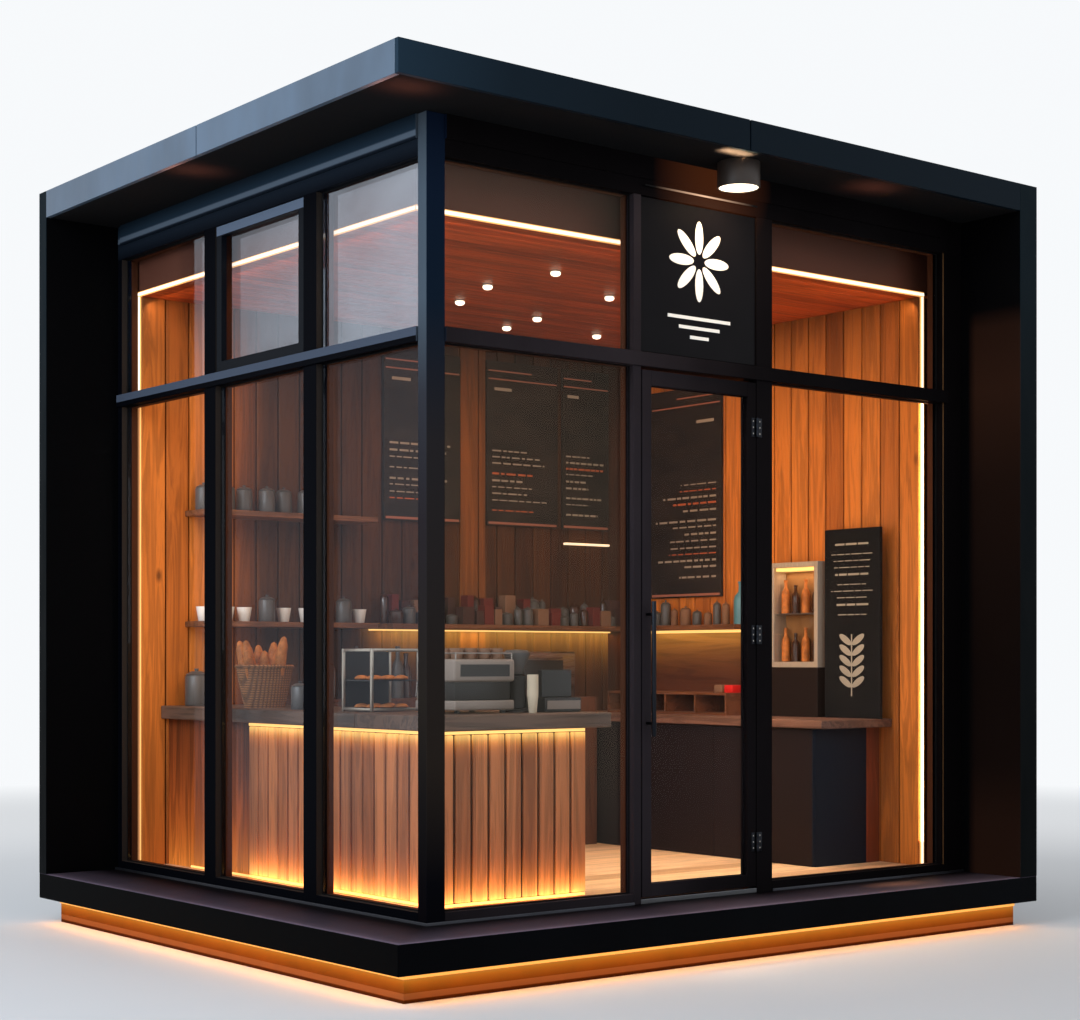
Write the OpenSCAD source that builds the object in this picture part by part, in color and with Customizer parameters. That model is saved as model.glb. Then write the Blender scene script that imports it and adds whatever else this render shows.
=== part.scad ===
// Street kiosk: a dark metal portal of floor, roof and two walls, with a glazed
// corner, a hinged glass door and a timber-lined room behind it.
// Millimetres, Z up, origin at the middle of the footprint on the ground.
// The door facade faces -Y and the side facade faces -X.

/* [Overall] */
// Overall width along the door facade
overall_w = 4000; // [3600:10:4600]
// Overall depth along the side facade
overall_d = 3350; // [3100:10:3900]
// Overall height from the ground to the roof edge
overall_h = 3830; // [3700:10:4200]

/* [Portal] */
// Height of the recessed base
base_h = 125; // [80:5:200]
// Setback of the base from the slab edge
base_setback = 85; // [40:5:150]
// Thickness of the floor slab
slab_t = 130; // [90:5:200]
// Thickness of the solid wall at the end of the room
wall_t = 135; // [100:5:160]
// Thickness of the solid back wall
back_wall_t = 85; // [70:5:160]
// Thickness of the roof edge
roof_t = 140; // [100:5:200]
// Thickness of the folded edge sheets on the roof
fascia_t = 25; // [15:1:40]
// Height of the edge sheets above the roof deck
roof_upstand = 25; // [10:1:40]

/* [Glazing lines] */
// Distance from the roof edge back to the front frames
front_setback = 375; // [300:5:400]
// Distance from the roof edge back to the side frames
left_setback = 400; // [320:5:400]

/* [Frame section] */
// Full depth of a frame bar
frame_depth = 95; // [85:1:110]
// Depth of the outer cap, from the face to the glass
cap_depth = 35; // [25:1:40]
// Thickness of a sealed glass unit
glass_t = 24; // [20:1:28]
// How far the glass reaches into a bar
bite = 12; // [8:1:15]
// Free edge of the glass inside a bar
edge_gap = 3; // [2:0.5:5]
// Width of the corner post on the side
post_side_w = 65; // [62:1:90]
// Width of the front upright on the closing side of the door
lock_upright_w = 45; // [40:1:60]
// Width of the front upright that carries the door
hinge_upright_w = 105; // [80:1:130]
// Width of the side uprights
side_upright_w = 112; // [90:1:130]
// Width of the front end jamb, up to the wall
front_jamb_w = 175; // [140:5:300]
// Width of the side end jamb, up to the wall
left_jamb_w = 65; // [65:5:160]
// Width of the bar face on each end jamb
jamb_face_w = 45; // [40:1:55]
// Setback of the blank part of an end jamb behind its bar
jamb_blank_step = 14; // [5:1:20]

/* [Bays] */
// Clear width of the front bay beside the corner
front_bay_w = 1060; // [900:5:1150]
// Clear width of the doorway
doorway_w = 740; // [700:5:860]
// Clear width of the side bay beside the corner
side_bay_w = 810; // [700:5:860]
// Clear width of the middle side bay
side_mid_bay_w = 823; // [700:5:860]
// Height of the bottom bars
sill_h = 50; // [40:1:80]
// Height of the underside of the transoms above the slab
transom_z = 2470; // [2300:5:2550]
// Height of a transom
transom_h = 65; // [50:1:90]
// How far the transom covers stand out
transom_cover_t = 10; // [5:1:20]
// Height of a header, up to the soffit
header_h = 180; // [150:5:260]
// Height of the raised band at the top of a header
header_band_h = 105; // [80:5:130]
// How far the header band stands out
header_band_t = 12; // [5:1:20]
// Gap round the sign tray
sign_gap = 4; // [2:1:10]
// Setback of the sign face behind the frames
sign_set = 8; // [4:1:20]
// Width of the bars of the opening sash
sash_bar_w = 50; // [35:1:70]
// Gap round the opening sash
sash_gap = 2; // [1:0.5:4]
// Setback of the sash face behind the frames
sash_set = 5; // [2:1:15]

/* [Door] */
// Thickness of the door leaf
leaf_t = 50; // [44:1:60]
// Gap on the hinge side
hinge_gap = 5; // [5:0.5:8]
// Gap on the closing side
lock_gap = 8; // [7:0.5:12]
// Height of the threshold
threshold_h = 22; // [15:1:25]
// Gap under the door leaf
foot_gap = 8; // [6:1:12]
// Gap over the door leaf
head_gap = 15; // [8:1:20]
// Width of the door stiles
stile_w = 55; // [45:1:80]
// Height of the top rail of the door
top_rail_h = 70; // [50:1:100]
// Height of the bottom rail of the door
bottom_rail_h = 60; // [50:1:120]
// Radius of a hinge barrel
barrel_r = 8; // [7:0.5:9]
// Radius of a hinge pin
pin_r = 4; // [3:0.5:5]
// Radial running clearance round a hinge pin
pin_clearance = 0.05; // [0.02:0.01:0.1]
// Height of one hinge knuckle
knuckle_h = 30; // [24:1:40]
// Gap between two knuckles
knuckle_gap = 0.2; // [0.1:0.05:0.3]
// Distance of the outer hinges from the ends of the leaf
hinge_margin = 170; // [100:5:300]
// Gap between a hinge plate and the barrel
plate_gap = 0.5; // [0.2:0.1:1]
// Thickness of a hinge plate
plate_t = 3; // [2:0.5:4]
// Width of a hinge plate
plate_w = 26; // [20:1:30]
// Radius of the pull bars
pull_r = 11; // [8:1:16]
// Length of the pull bars
pull_length = 620; // [300:10:1200]
// Height of the middle of the pull bars above the slab
pull_z = 1080; // [900:10:1200]
// Distance of a pull bar from the face of the door
pull_reach = 48; // [35:1:65]
// Radius of the posts of a pull bar
pull_post_r = 7; // [5:0.5:9]
// Distance of those posts from the ends of the bar
pull_post_inset = 60; // [30:5:120]

/* [Room] */
// Distance from the roof edge to the mouth of the timber lining, front
mouth_front = 600; // [560:5:640]
// Distance from the roof edge to the mouth of the timber lining, side
mouth_left = 505; // [500:5:540]
// Thickness of the wall lining with its battens
lining_t = 95; // [50:1:110]
// Thickness of the timber floor
floor_t = 20; // [12:1:30]
// Distance from the soffit down to the face of the ceiling
ceiling_drop = 370; // [335:5:485]
// Thickness of the ceiling boards
ceiling_t = 30; // [20:1:40]
// Thickness of the panels over the mouth
bulkhead_t = 18; // [12:1:30]
// Width of a light strip
strip_w = 26; // [15:1:29]
// Thickness of a light strip
strip_t = 8; // [5:1:12]
// Distance of the upright light strips from the face of the lining beside them
strip_set = 12; // [4:1:20]
// Gap between the furniture lights and what they lie next to
strip_lift = 3; // [1:1:8]
// Radius of a ceiling light
downlight_r = 30; // [24:1:60]
// How far a ceiling light stands out of the ceiling
downlight_h = 28; // [6:1:40]

/* [Corner counter] */
// Distance from the side roof edge to the counter boards
counter_x = 645; // [620:5:680]
// Distance from the front roof edge to the counter boards
counter_y = 660; // [640:5:700]
// Length of the counter along the front
counter_front_l = 865; // [700:5:900]
// Length of the boarded face along the side
counter_side_l = 1640; // [1300:5:1800]
// Depth of the counter
counter_depth = 600; // [450:5:650]
// Height of the underside of the counter top above the slab
counter_body_top = 805; // [750:5:900]
// Thickness of the counter top
counter_top_t = 70; // [30:1:90]
// Overhang of the counter top over the boards
counter_top_lip = 30; // [10:1:45]
// Overhang of the counter top past the end of the front leg
counter_top_end_lip = 130; // [20:5:150]
// Width of a counter board
board_w = 85; // [60:1:110]
// Gap between two counter boards
board_gap = 10; // [4:1:20]
// Thickness of a counter board
board_t = 18; // [12:1:25]
// Height of the foot of the boards above the slab
board_foot_z = 40; // [38:1:90]
// Height of the head of the boards above the slab
board_head_z = 786; // [700:1:788]

/* [Wall furniture] */
// Distance from the front roof edge to the wall counter
wall_counter_y = 875; // [850:5:1000]
// Depth of the wall counter
wall_counter_depth = 520; // [400:5:600]
// Height of the underside of the wall counter top above the slab
wall_counter_body_top = 757; // [700:1:850]
// Thickness of the wall counter top
wall_counter_top_t = 45; // [25:1:60]
// Overhang of the wall counter top at its front end
wall_counter_end_lip = 90; // [40:5:120]
// Overhang of the wall counter top along its side
wall_counter_lip = 30; // [10:1:50]
// Width of the timber panel at the front end of the wall counter
end_panel_w = 105; // [80:5:200]
// Depth of the back bar
back_bar_depth = 550; // [400:5:600]
// Height of the back bar above the slab
back_bar_top = 900; // [800:5:950]
// Depth of the shelves
shelf_depth = 250; // [150:5:300]
// Thickness of a shelf
shelf_t = 30; // [20:1:45]
// Height of the long shelf above the slab
shelf_z = 1300; // [1200:5:1400]
// Distance from the side roof edge to the long shelf
shelf_x = 1950; // [1900:5:2200]
// Distance from the mouth of the lining to the two short shelves
side_shelf_gap = 255; // [150:5:255]
// Length of the two short shelves
side_shelf_l = 1090; // [800:5:1100]
// Height of the upper short shelf above the slab
upper_shelf_z = 1900; // [1700:5:2000]
// Thickness of the wall boards
wall_board_t = 20; // [12:1:30]
// Width of the two whole boards on the back wall
wall_board_w = 550; // [350:5:560]
// Width of the narrow board beside the end wall
narrow_board_w = 375; // [250:5:380]
// Height of a wall board on the back wall
wall_board_h = 1000; // [700:5:1050]
// Distance from the ceiling down to the boards on the back wall
wall_board_drop = 125; // [40:5:300]
// Gap between the end wall and the narrow board
narrow_board_margin = 10; // [5:5:30]
// Gap between the narrow board and the whole board beside it
wall_board_gap = 40; // [10:5:60]
// Gap between the two whole boards
whole_board_gap = 200; // [150:5:260]
// Width of the board on the end wall
end_board_w = 630; // [400:5:700]
// Height of the board on the end wall
end_board_h = 1270; // [900:5:1300]
// Distance from the ceiling down to the board on the end wall
end_board_drop = 295; // [150:5:400]
// Distance from the back wall to the board on the end wall
end_board_gap = 435; // [310:5:500]
// Thickness of the poster stand
poster_t = 25; // [15:1:40]
// Width of the poster stand
poster_w = 405; // [300:5:420]
// Height of the poster stand
poster_h = 1040; // [800:5:1200]
// Distance from the end wall to the poster stand
poster_gap = 75; // [40:5:150]
// Gap between the poster stand and the display case
case_gap = 25; // [10:5:60]
// Width of the display case
case_w = 370; // [300:5:450]
// Depth of the display case
case_depth = 130; // [100:5:200]
// Height of the display case
case_h = 870; // [700:5:950]
// Height of the closed foot of the display case
case_foot_h = 280; // [200:5:320]
// Width of the rim of the display case
case_rim = 28; // [20:1:40]
// Thickness of the glass of the display case
case_glass_t = 6; // [4:0.5:8]
// Setback of that glass behind the rim
case_glass_set = 8; // [4:1:15]

/* [Soffit lamp] */
// Radius of the soffit lamp
lamp_r = 100; // [70:1:120]
// Height of the soffit lamp
lamp_h = 120; // [80:1:150]
// Depth of the lens recess
lamp_recess = 12; // [6:1:20]
// Wall of the lamp housing
lamp_wall = 8; // [4:1:12]
// Setback of the lens behind the rim of the lamp
lens_set = 4; // [1:1:5]
// Gap round the lens
lens_gap = 0.2; // [0.1:0.1:0.5]
// Distance of the lamp from the side roof edge
lamp_x = 2045; // [1800:5:2300]
// Distance of the lamp from the front roof edge
lamp_y = 195; // [150:5:240]

/* [Hidden] */
$fn = 48;

// How far a cutting shape runs past what it cuts
over = 1;

// Heights above the slab, whose top is the zero of the fittings
slab_z = base_h + slab_t;
soffit_z = overall_h - roof_t - slab_z;
top_z = overall_h - slab_z;
header_z = soffit_z - header_h;
ceiling_z = soffit_z - ceiling_drop;
room_z = floor_t;

// Inner faces of the two solid walls and of their linings
end_wall_x = overall_w - wall_t;
back_wall_y = overall_d - back_wall_t;
end_lining_x = end_wall_x - lining_t;
back_lining_y = back_wall_y - lining_t;

// Front facade, measured from the left roof edge
post_x1 = left_setback + frame_depth;
lock_upright_x = post_x1 + front_bay_w;
door_x0 = lock_upright_x + lock_upright_w;
door_x1 = door_x0 + doorway_w;
right_bay_x = door_x1 + hinge_upright_w;
front_jamb_x = end_wall_x - front_jamb_w;

// Side facade, measured from the front roof edge
post_y1 = front_setback + post_side_w;
side_upright_1 = post_y1 + side_bay_w;
mid_bay_y = side_upright_1 + side_upright_w;
side_upright_2 = mid_bay_y + side_mid_bay_w;
back_bay_y = side_upright_2 + side_upright_w;
left_jamb_y = back_wall_y - left_jamb_w;

glass_back = cap_depth + glass_t;
transom_top = transom_z + transom_h;

// Door leaf, in facade coordinates
leaf_x0 = door_x0 + lock_gap;
leaf_x1 = door_x1 - hinge_gap;
leaf_z0 = threshold_h + foot_gap;
leaf_z1 = transom_z - head_gap;
leaf_groove = (leaf_t - glass_t) / 2;
hinge_x = door_x1 - hinge_gap / 2;
hinge_h = 3 * knuckle_h;
hinge_zs = [
    leaf_z0 + hinge_margin,
    (leaf_z0 + leaf_z1 - hinge_h) / 2,
    leaf_z1 - hinge_margin - hinge_h
];

// Corner counter
counter_x1 = counter_x + counter_front_l;
counter_y1 = counter_y + counter_depth;
counter_side_x1 = counter_x + counter_depth;
boarded_y1 = counter_y + counter_side_l;
board_pitch = board_w + board_gap;
side_top_x1 = counter_side_x1 + counter_top_lip;

// Wall furniture
wall_counter_x = end_lining_x - wall_counter_depth;
wall_worktop_z = wall_counter_body_top + wall_counter_top_t;
back_bar_y = back_lining_y - back_bar_depth;
side_shelf_x = mouth_left + side_shelf_gap;
poster_x = end_lining_x - poster_gap - poster_t;
poster_y = wall_counter_y - wall_counter_end_lip;
case_y = poster_y + poster_w + case_gap;

// Places of the ceiling lights, measured from the corner of the roof
downlight_spots = [
    [1800, 1250], [1750, 1750], [1900, 2200], [2450, 1600],
    [2550, 2350], [2600, 2700], [3200, 1600], [3200, 2600]
];

steel = "#1b2126";
timber = "#b06a35";

// Moves the front left corner of the footprint to its place, on the ground
module on_ground() {
    translate([-overall_w / 2, -overall_d / 2, 0]) children();
}

// The same corner, on the top of the slab
module on_slab() {
    on_ground() translate([0, 0, slab_z]) children();
}

// A rectangular block between two opposite corners
module block(low, high) {
    translate(low) cube(high - low);
}

// Facade coordinates: x along the facade, y inward from its face, z up from the slab
module front_facade() {
    on_slab() translate([0, front_setback, 0]) children();
}

module left_facade() {
    on_slab() translate([left_setback, 0, 0]) mirror([1, -1, 0]) children();
}

// Section of a frame bar: a cap, a tongue between the glass rebates and an inner box
module bar_section(w, near, far) {
    near_rebate = near ? [[0, glass_back], [bite, glass_back], [bite, cap_depth]] : [];
    far_rebate = far ? [[w - bite, cap_depth], [w - bite, glass_back], [w, glass_back]] : [];
    polygon(concat(
        [[0, 0], [w, 0], [w, cap_depth]],
        far_rebate,
        [[w, frame_depth], [0, frame_depth]],
        near_rebate,
        [[0, cap_depth]]
    ));
}

module upright(x, w, z1, near, far) {
    translate([x, 0, 0]) linear_extrude(z1) bar_section(w, near, far);
}

module crossbar(z, h, x0, x1, low, high) {
    translate([x0, 0, z]) mirror([1, 0, -1]) linear_extrude(x1 - x0) bar_section(h, low, high);
}

// A glass unit in the clear opening between its bars, seated on the lower rebate
module pane(x0, x1, z0, z1) {
    reach = bite - edge_gap;
    block([x0 - reach, cap_depth, z0 - bite], [x1 + reach, glass_back, z1 + reach]);
}

module base_plinth() {
    color("#3a3a3a") on_ground() block(
        [base_setback, base_setback, 0],
        [overall_w - base_setback, overall_d - base_setback, base_h]
    );
}

// Light strips on the upper edge of the base, under the slab
module base_lights() {
    s = base_setback;
    color("#ffb566") on_ground() {
        block([s - strip_t, s - strip_t, base_h - strip_w], [overall_w - s, s, base_h]);
        block([s - strip_t, s, base_h - strip_w], [s, overall_d - s, base_h]);
    }
}

module floor_slab() {
    color(steel) on_ground() block([0, 0, base_h], [overall_w, overall_d, slab_z]);
}

module room_floor() {
    color("#c08a55") on_slab() block(
        [left_setback + frame_depth, front_setback + frame_depth, 0],
        [end_wall_x, back_wall_y, floor_t]
    );
}

module right_wall() {
    color(steel) on_slab() block([end_wall_x, 0, 0], [overall_w, overall_d, top_z]);
}

module back_wall() {
    color(steel) on_slab() block([0, back_wall_y, 0], [end_wall_x, overall_d, top_z]);
}

module roof_deck() {
    color(steel) on_slab() block(
        [fascia_t, fascia_t, soffit_z],
        [end_wall_x, back_wall_y, top_z - roof_upstand]
    );
}

module front_fascia() {
    color("#26323d") on_slab() block([0, 0, soffit_z], [end_wall_x, fascia_t, top_z]);
}

module left_fascia() {
    color("#26323d") on_slab() block([0, fascia_t, soffit_z], [fascia_t, back_wall_y, top_z]);
}

// Corner post with a glass rebate towards each facade
module corner_post() {
    x = left_setback;
    y = front_setback;
    color(steel) on_slab() linear_extrude(soffit_z) polygon([
        [x, y],
        [post_x1, y],
        [post_x1, y + cap_depth],
        [post_x1 - bite, y + cap_depth],
        [post_x1 - bite, y + glass_back],
        [post_x1, y + glass_back],
        [post_x1, post_y1],
        [x + glass_back, post_y1],
        [x + glass_back, post_y1 - bite],
        [x + cap_depth, post_y1 - bite],
        [x + cap_depth, post_y1],
        [x, post_y1]
    ]);
}

module front_uprights() {
    color(steel) front_facade() {
        upright(lock_upright_x, lock_upright_w, header_z, true, true);
        upright(door_x1, hinge_upright_w, header_z, true, true);
    }
}

module left_uprights() {
    color(steel) left_facade() {
        upright(side_upright_1, side_upright_w, header_z, true, true);
        upright(side_upright_2, side_upright_w, header_z, true, true);
    }
}

// End jamb: a bar with one rebate and a blank part up to the wall
module end_jamb(x, w) {
    union() {
        upright(x, jamb_face_w, soffit_z, true, false);
        block([x + jamb_face_w, jamb_blank_step, 0], [x + w, frame_depth, soffit_z]);
    }
}

module front_jamb() {
    color(steel) front_facade() end_jamb(front_jamb_x, front_jamb_w);
}

module left_jamb() {
    color(steel) left_facade() end_jamb(left_jamb_y, left_jamb_w);
}

// Header: a bar with a lower rebate and a raised band under the soffit
module header(x0, x1) {
    union() {
        crossbar(header_z, header_h, x0, x1, true, false);
        block([x0, -header_band_t, soffit_z - header_band_h], [x1, 0, soffit_z]);
    }
}

module front_header() {
    color(steel) front_facade() header(post_x1, front_jamb_x);
}

module left_header() {
    color(steel) left_facade() header(post_y1, left_jamb_y);
}

module front_transoms() {
    color(steel) front_facade() {
        crossbar(transom_z, transom_h, post_x1, lock_upright_x, true, true);
        crossbar(transom_z, transom_h, door_x0, door_x1, false, true);
        crossbar(transom_z, transom_h, right_bay_x, front_jamb_x, true, true);
    }
}

module left_transoms() {
    color(steel) left_facade() {
        crossbar(transom_z, transom_h, post_y1, side_upright_1, true, true);
        crossbar(transom_z, transom_h, mid_bay_y, side_upright_2, true, true);
        crossbar(transom_z, transom_h, back_bay_y, left_jamb_y, true, true);
    }
}

// Continuous covers that run over the transoms and uprights
module transom_covers() {
    color(steel) {
        front_facade() block(
            [post_x1, -transom_cover_t, transom_z],
            [front_jamb_x + jamb_face_w, 0, transom_top]
        );
        left_facade() block(
            [post_y1, -transom_cover_t, transom_z],
            [left_jamb_y + jamb_face_w, 0, transom_top]
        );
    }
}

module front_sills() {
    color(steel) front_facade() {
        crossbar(0, sill_h, post_x1, lock_upright_x, false, true);
        crossbar(0, sill_h, right_bay_x, front_jamb_x, false, true);
    }
}

module left_sills() {
    color(steel) left_facade() {
        crossbar(0, sill_h, post_y1, side_upright_1, false, true);
        crossbar(0, sill_h, mid_bay_y, side_upright_2, false, true);
        crossbar(0, sill_h, back_bay_y, left_jamb_y, false, true);
    }
}

module door_threshold() {
    color("#3b3f43") front_facade() block([door_x0, 0, 0], [door_x1, frame_depth, threshold_h]);
}

module front_panes() {
    color("#9fb4bd", 0.35) front_facade() {
        pane(post_x1, lock_upright_x, sill_h, transom_z);
        pane(post_x1, lock_upright_x, transom_top, header_z);
        pane(right_bay_x, front_jamb_x, sill_h, transom_z);
        pane(right_bay_x, front_jamb_x, transom_top, header_z);
    }
}

module left_panes() {
    color("#9fb4bd", 0.35) left_facade() {
        pane(post_y1, side_upright_1, sill_h, transom_z);
        pane(post_y1, side_upright_1, transom_top, header_z);
        pane(mid_bay_y, side_upright_2, sill_h, transom_z);
        pane(mid_bay_y, side_upright_2, transom_top, header_z);
        pane(back_bay_y, left_jamb_y, sill_h, transom_z);
        pane(back_bay_y, left_jamb_y, transom_top, header_z);
    }
}

// Opaque sign over the door: a sheet in the rebates and a tray in front of it
module sign_panel() {
    color("#101014") front_facade() union() {
        pane(door_x0, door_x1, transom_top, header_z);
        block(
            [door_x0 + sign_gap, sign_set, transom_top + sign_gap],
            [door_x1 - sign_gap, cap_depth, header_z - sign_gap]
        );
    }
}

// Sash of the opening light in the middle side bay, clamped against its glass
module vent_sash() {
    x0 = mid_bay_y + sash_gap;
    x1 = side_upright_2 - sash_gap;
    z0 = transom_top + sash_gap;
    z1 = header_z - sash_gap;
    color("#4a5560") left_facade() difference() {
        block([x0, sash_set, z0], [x1, cap_depth, z1]);
        block(
            [x0 + sash_bar_w, -over, z0 + sash_bar_w],
            [x1 - sash_bar_w, cap_depth + over, z1 - sash_bar_w]
        );
    }
}

// Section of a door bar: a full bar with a groove for the glass along one edge
module leaf_section(w) {
    polygon([
        [0, 0],
        [w, 0],
        [w, leaf_groove],
        [w - bite, leaf_groove],
        [w - bite, leaf_groove + glass_t],
        [w, leaf_groove + glass_t],
        [w, leaf_t],
        [0, leaf_t]
    ]);
}

module door_lock_stile() {
    color(steel) front_facade() translate([leaf_x0, 0, leaf_z0])
        linear_extrude(leaf_z1 - leaf_z0) leaf_section(stile_w);
}

module door_hinge_stile() {
    color(steel) front_facade() translate([leaf_x1, 0, leaf_z0]) mirror([1, 0, 0])
        linear_extrude(leaf_z1 - leaf_z0) leaf_section(stile_w);
}

module door_rail(h) {
    mirror([1, 0, -1]) linear_extrude(leaf_x1 - leaf_x0 - 2 * stile_w) leaf_section(h);
}

module door_bottom_rail() {
    color(steel) front_facade() translate([leaf_x0 + stile_w, 0, leaf_z0])
        door_rail(bottom_rail_h);
}

module door_top_rail() {
    color(steel) front_facade() translate([leaf_x0 + stile_w, 0, leaf_z1]) mirror([0, 0, 1])
        door_rail(top_rail_h);
}

module door_glass() {
    reach = bite - edge_gap;
    color("#9fb4bd", 0.35) front_facade() block(
        [leaf_x0 + stile_w - reach, leaf_groove, leaf_z0 + bottom_rail_h - bite],
        [leaf_x1 - stile_w + reach, leaf_groove + glass_t, leaf_z1 - top_rail_h + reach]
    );
}

// One pull bar on its two posts, standing out of the face at y = 0
module pull_bar() {
    union() {
        translate([0, -pull_reach, -pull_length / 2]) cylinder(h = pull_length, r = pull_r);
        for (side = [-1, 1])
            translate([0, 0, side * (pull_length / 2 - pull_post_inset)])
                rotate([90, 0, 0]) cylinder(h = pull_reach, r = pull_post_r);
    }
}

module door_pulls() {
    x = leaf_x0 + stile_w / 2;
    color(steel) front_facade() {
        translate([x, 0, pull_z]) pull_bar();
        translate([x, leaf_t, pull_z]) mirror([0, 1, 0]) pull_bar();
    }
}

// Knuckles on the door: the middle knuckle turns on the pin of the frame hinge
module door_hinges() {
    z0 = knuckle_h + knuckle_gap;
    z1 = 2 * knuckle_h - knuckle_gap;
    color(steel) front_facade() for (z = hinge_zs)
        translate([hinge_x, -barrel_r, z]) difference() {
            union() {
                translate([0, 0, z0]) cylinder(h = z1 - z0, r = barrel_r);
                block([-barrel_r, barrel_r - plate_t, z0], [0, barrel_r, z1]);
                block(
                    [-barrel_r - plate_gap - plate_w, barrel_r - plate_t, 0],
                    [-barrel_r - plate_gap, barrel_r, hinge_h]
                );
                block([-barrel_r - plate_gap, barrel_r - plate_t, z0], [-barrel_r, barrel_r, z1]);
            }
            translate([0, 0, -over]) cylinder(h = hinge_h + 2 * over, r = pin_r + pin_clearance);
        }
}

// Knuckles on the frame: the outer two knuckles with the pin between them
module frame_hinges() {
    color(steel) front_facade() for (z = hinge_zs)
        translate([hinge_x, -barrel_r, z]) union() {
            cylinder(h = hinge_h, r = pin_r);
            for (z0 = [0, 2 * knuckle_h]) {
                translate([0, 0, z0]) cylinder(h = knuckle_h, r = barrel_r);
                block([0, barrel_r - plate_t, z0], [barrel_r + plate_gap, barrel_r, z0 + knuckle_h]);
            }
            block(
                [barrel_r + plate_gap, barrel_r - plate_t, 0],
                [barrel_r + plate_gap + plate_w, barrel_r, hinge_h]
            );
        }
}

module ceiling() {
    color("#7a3a20") on_slab() block(
        [mouth_left, mouth_front, ceiling_z],
        [end_wall_x, back_wall_y, ceiling_z + ceiling_t]
    );
}

module front_bulkhead() {
    color("#3a2822") on_slab() block(
        [mouth_left, mouth_front, ceiling_z + ceiling_t],
        [end_wall_x, mouth_front + bulkhead_t, soffit_z]
    );
}

module left_bulkhead() {
    color("#3a2822") on_slab() block(
        [mouth_left, mouth_front + bulkhead_t, ceiling_z + ceiling_t],
        [mouth_left + bulkhead_t, back_wall_y, soffit_z]
    );
}

module end_wall_lining() {
    color(timber) on_slab() block(
        [end_lining_x, mouth_front, room_z],
        [end_wall_x, back_lining_y, ceiling_z]
    );
}

module back_wall_lining() {
    color(timber) on_slab() block(
        [mouth_left, back_lining_y, room_z],
        [end_wall_x, back_wall_y, ceiling_z]
    );
}

// Light strips round the mouth of the lining, on its front edges
module room_lights() {
    z0 = ceiling_z + (ceiling_t - strip_w) / 2;
    z1 = z0 + strip_w;
    x1 = end_lining_x + strip_set + strip_w;
    y1 = back_lining_y + strip_set + strip_w;
    color("#ffe9cc") on_slab() union() {
        block([mouth_left - strip_t, mouth_front - strip_t, z0], [x1, mouth_front, z1]);
        block([mouth_left - strip_t, mouth_front, z0], [mouth_left, y1, z1]);
        block([x1 - strip_w, mouth_front - strip_t, room_z], [x1, mouth_front, z0]);
        block([mouth_left - strip_t, y1 - strip_w, room_z], [mouth_left, y1, z0]);
    }
}

module downlights() {
    color("#fff4e0") on_slab() for (spot = downlight_spots)
        translate([spot.x, spot.y, ceiling_z - downlight_h])
            cylinder(h = downlight_h, r = downlight_r);
}

module front_counter() {
    color("#8a6a50") on_slab() block(
        [counter_x + board_t, counter_y + board_t, room_z],
        [counter_x1, counter_y1, counter_body_top]
    );
}

module side_counter() {
    color("#9a5a30") on_slab() block(
        [counter_x + board_t, counter_y1, room_z],
        [counter_side_x1, back_lining_y, counter_body_top]
    );
}

// One row of upright boards along x, in front of the face at y = board_t
module board_row(length) {
    count = floor((length + board_gap) / board_pitch);
    for (i = [0 : count - 1])
        translate([i * board_pitch, 0, board_foot_z])
            cube([board_w, board_t, board_head_z - board_foot_z]);
}

module counter_boards() {
    color("#c79a72") on_slab() {
        translate([counter_x + board_t, counter_y, 0]) board_row(counter_front_l - board_t);
        translate([counter_x, counter_y + board_t, 0]) mirror([1, -1, 0])
            board_row(counter_side_l - board_t);
    }
}

module front_worktop() {
    color("#6b5547") on_slab() block(
        [counter_x - counter_top_lip, counter_y - counter_top_lip, counter_body_top],
        [counter_x1 + counter_top_end_lip, counter_y1, counter_body_top + counter_top_t]
    );
}

module side_worktop() {
    color("#6b5547") on_slab() block(
        [counter_x - counter_top_lip, counter_y1, counter_body_top],
        [side_top_x1, back_lining_y, counter_body_top + counter_top_t]
    );
}

// Light strips over and under the counter boards and below the long shelf
module furniture_lights() {
    low_z = room_z + strip_lift;
    high_z = counter_body_top - strip_lift - strip_w / 2;
    x = counter_x + board_t;
    y = counter_y + board_t;
    color("#ffc27a") on_slab() {
        for (z = [low_z, high_z]) union() {
            block([x - strip_t, y - strip_t, z], [counter_x1, y, z + strip_w / 2]);
            block([x - strip_t, y, z], [x, boarded_y1, z + strip_w / 2]);
        }
        block(
            [shelf_x, back_lining_y - strip_w, shelf_z - strip_t],
            [end_lining_x, back_lining_y, shelf_z]
        );
    }
}

module wall_counter() {
    color("#2d3848") on_slab() block(
        [wall_counter_x, wall_counter_y, room_z],
        [end_lining_x - end_panel_w, back_lining_y, wall_counter_body_top]
    );
}

module wall_counter_end() {
    color("#6b4028") on_slab() block(
        [end_lining_x - end_panel_w, wall_counter_y, room_z],
        [end_lining_x, back_lining_y, wall_counter_body_top]
    );
}

module wall_worktop() {
    color("#4a3a32") on_slab() block(
        [wall_counter_x - wall_counter_lip, wall_counter_y - wall_counter_end_lip, wall_counter_body_top],
        [end_lining_x, back_lining_y, wall_worktop_z]
    );
}

module back_bar() {
    color("#3a2a22") on_slab() block(
        [side_top_x1, back_bar_y, room_z],
        [wall_counter_x - wall_counter_lip, back_lining_y, back_bar_top]
    );
}

module wall_shelves() {
    y0 = back_lining_y - shelf_depth;
    color("#5a3a26") on_slab() {
        block([shelf_x, y0, shelf_z], [end_lining_x, back_lining_y, shelf_z + shelf_t]);
        for (z = [shelf_z, upper_shelf_z])
            block([side_shelf_x, y0, z], [side_shelf_x + side_shelf_l, back_lining_y, z + shelf_t]);
    }
}

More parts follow.
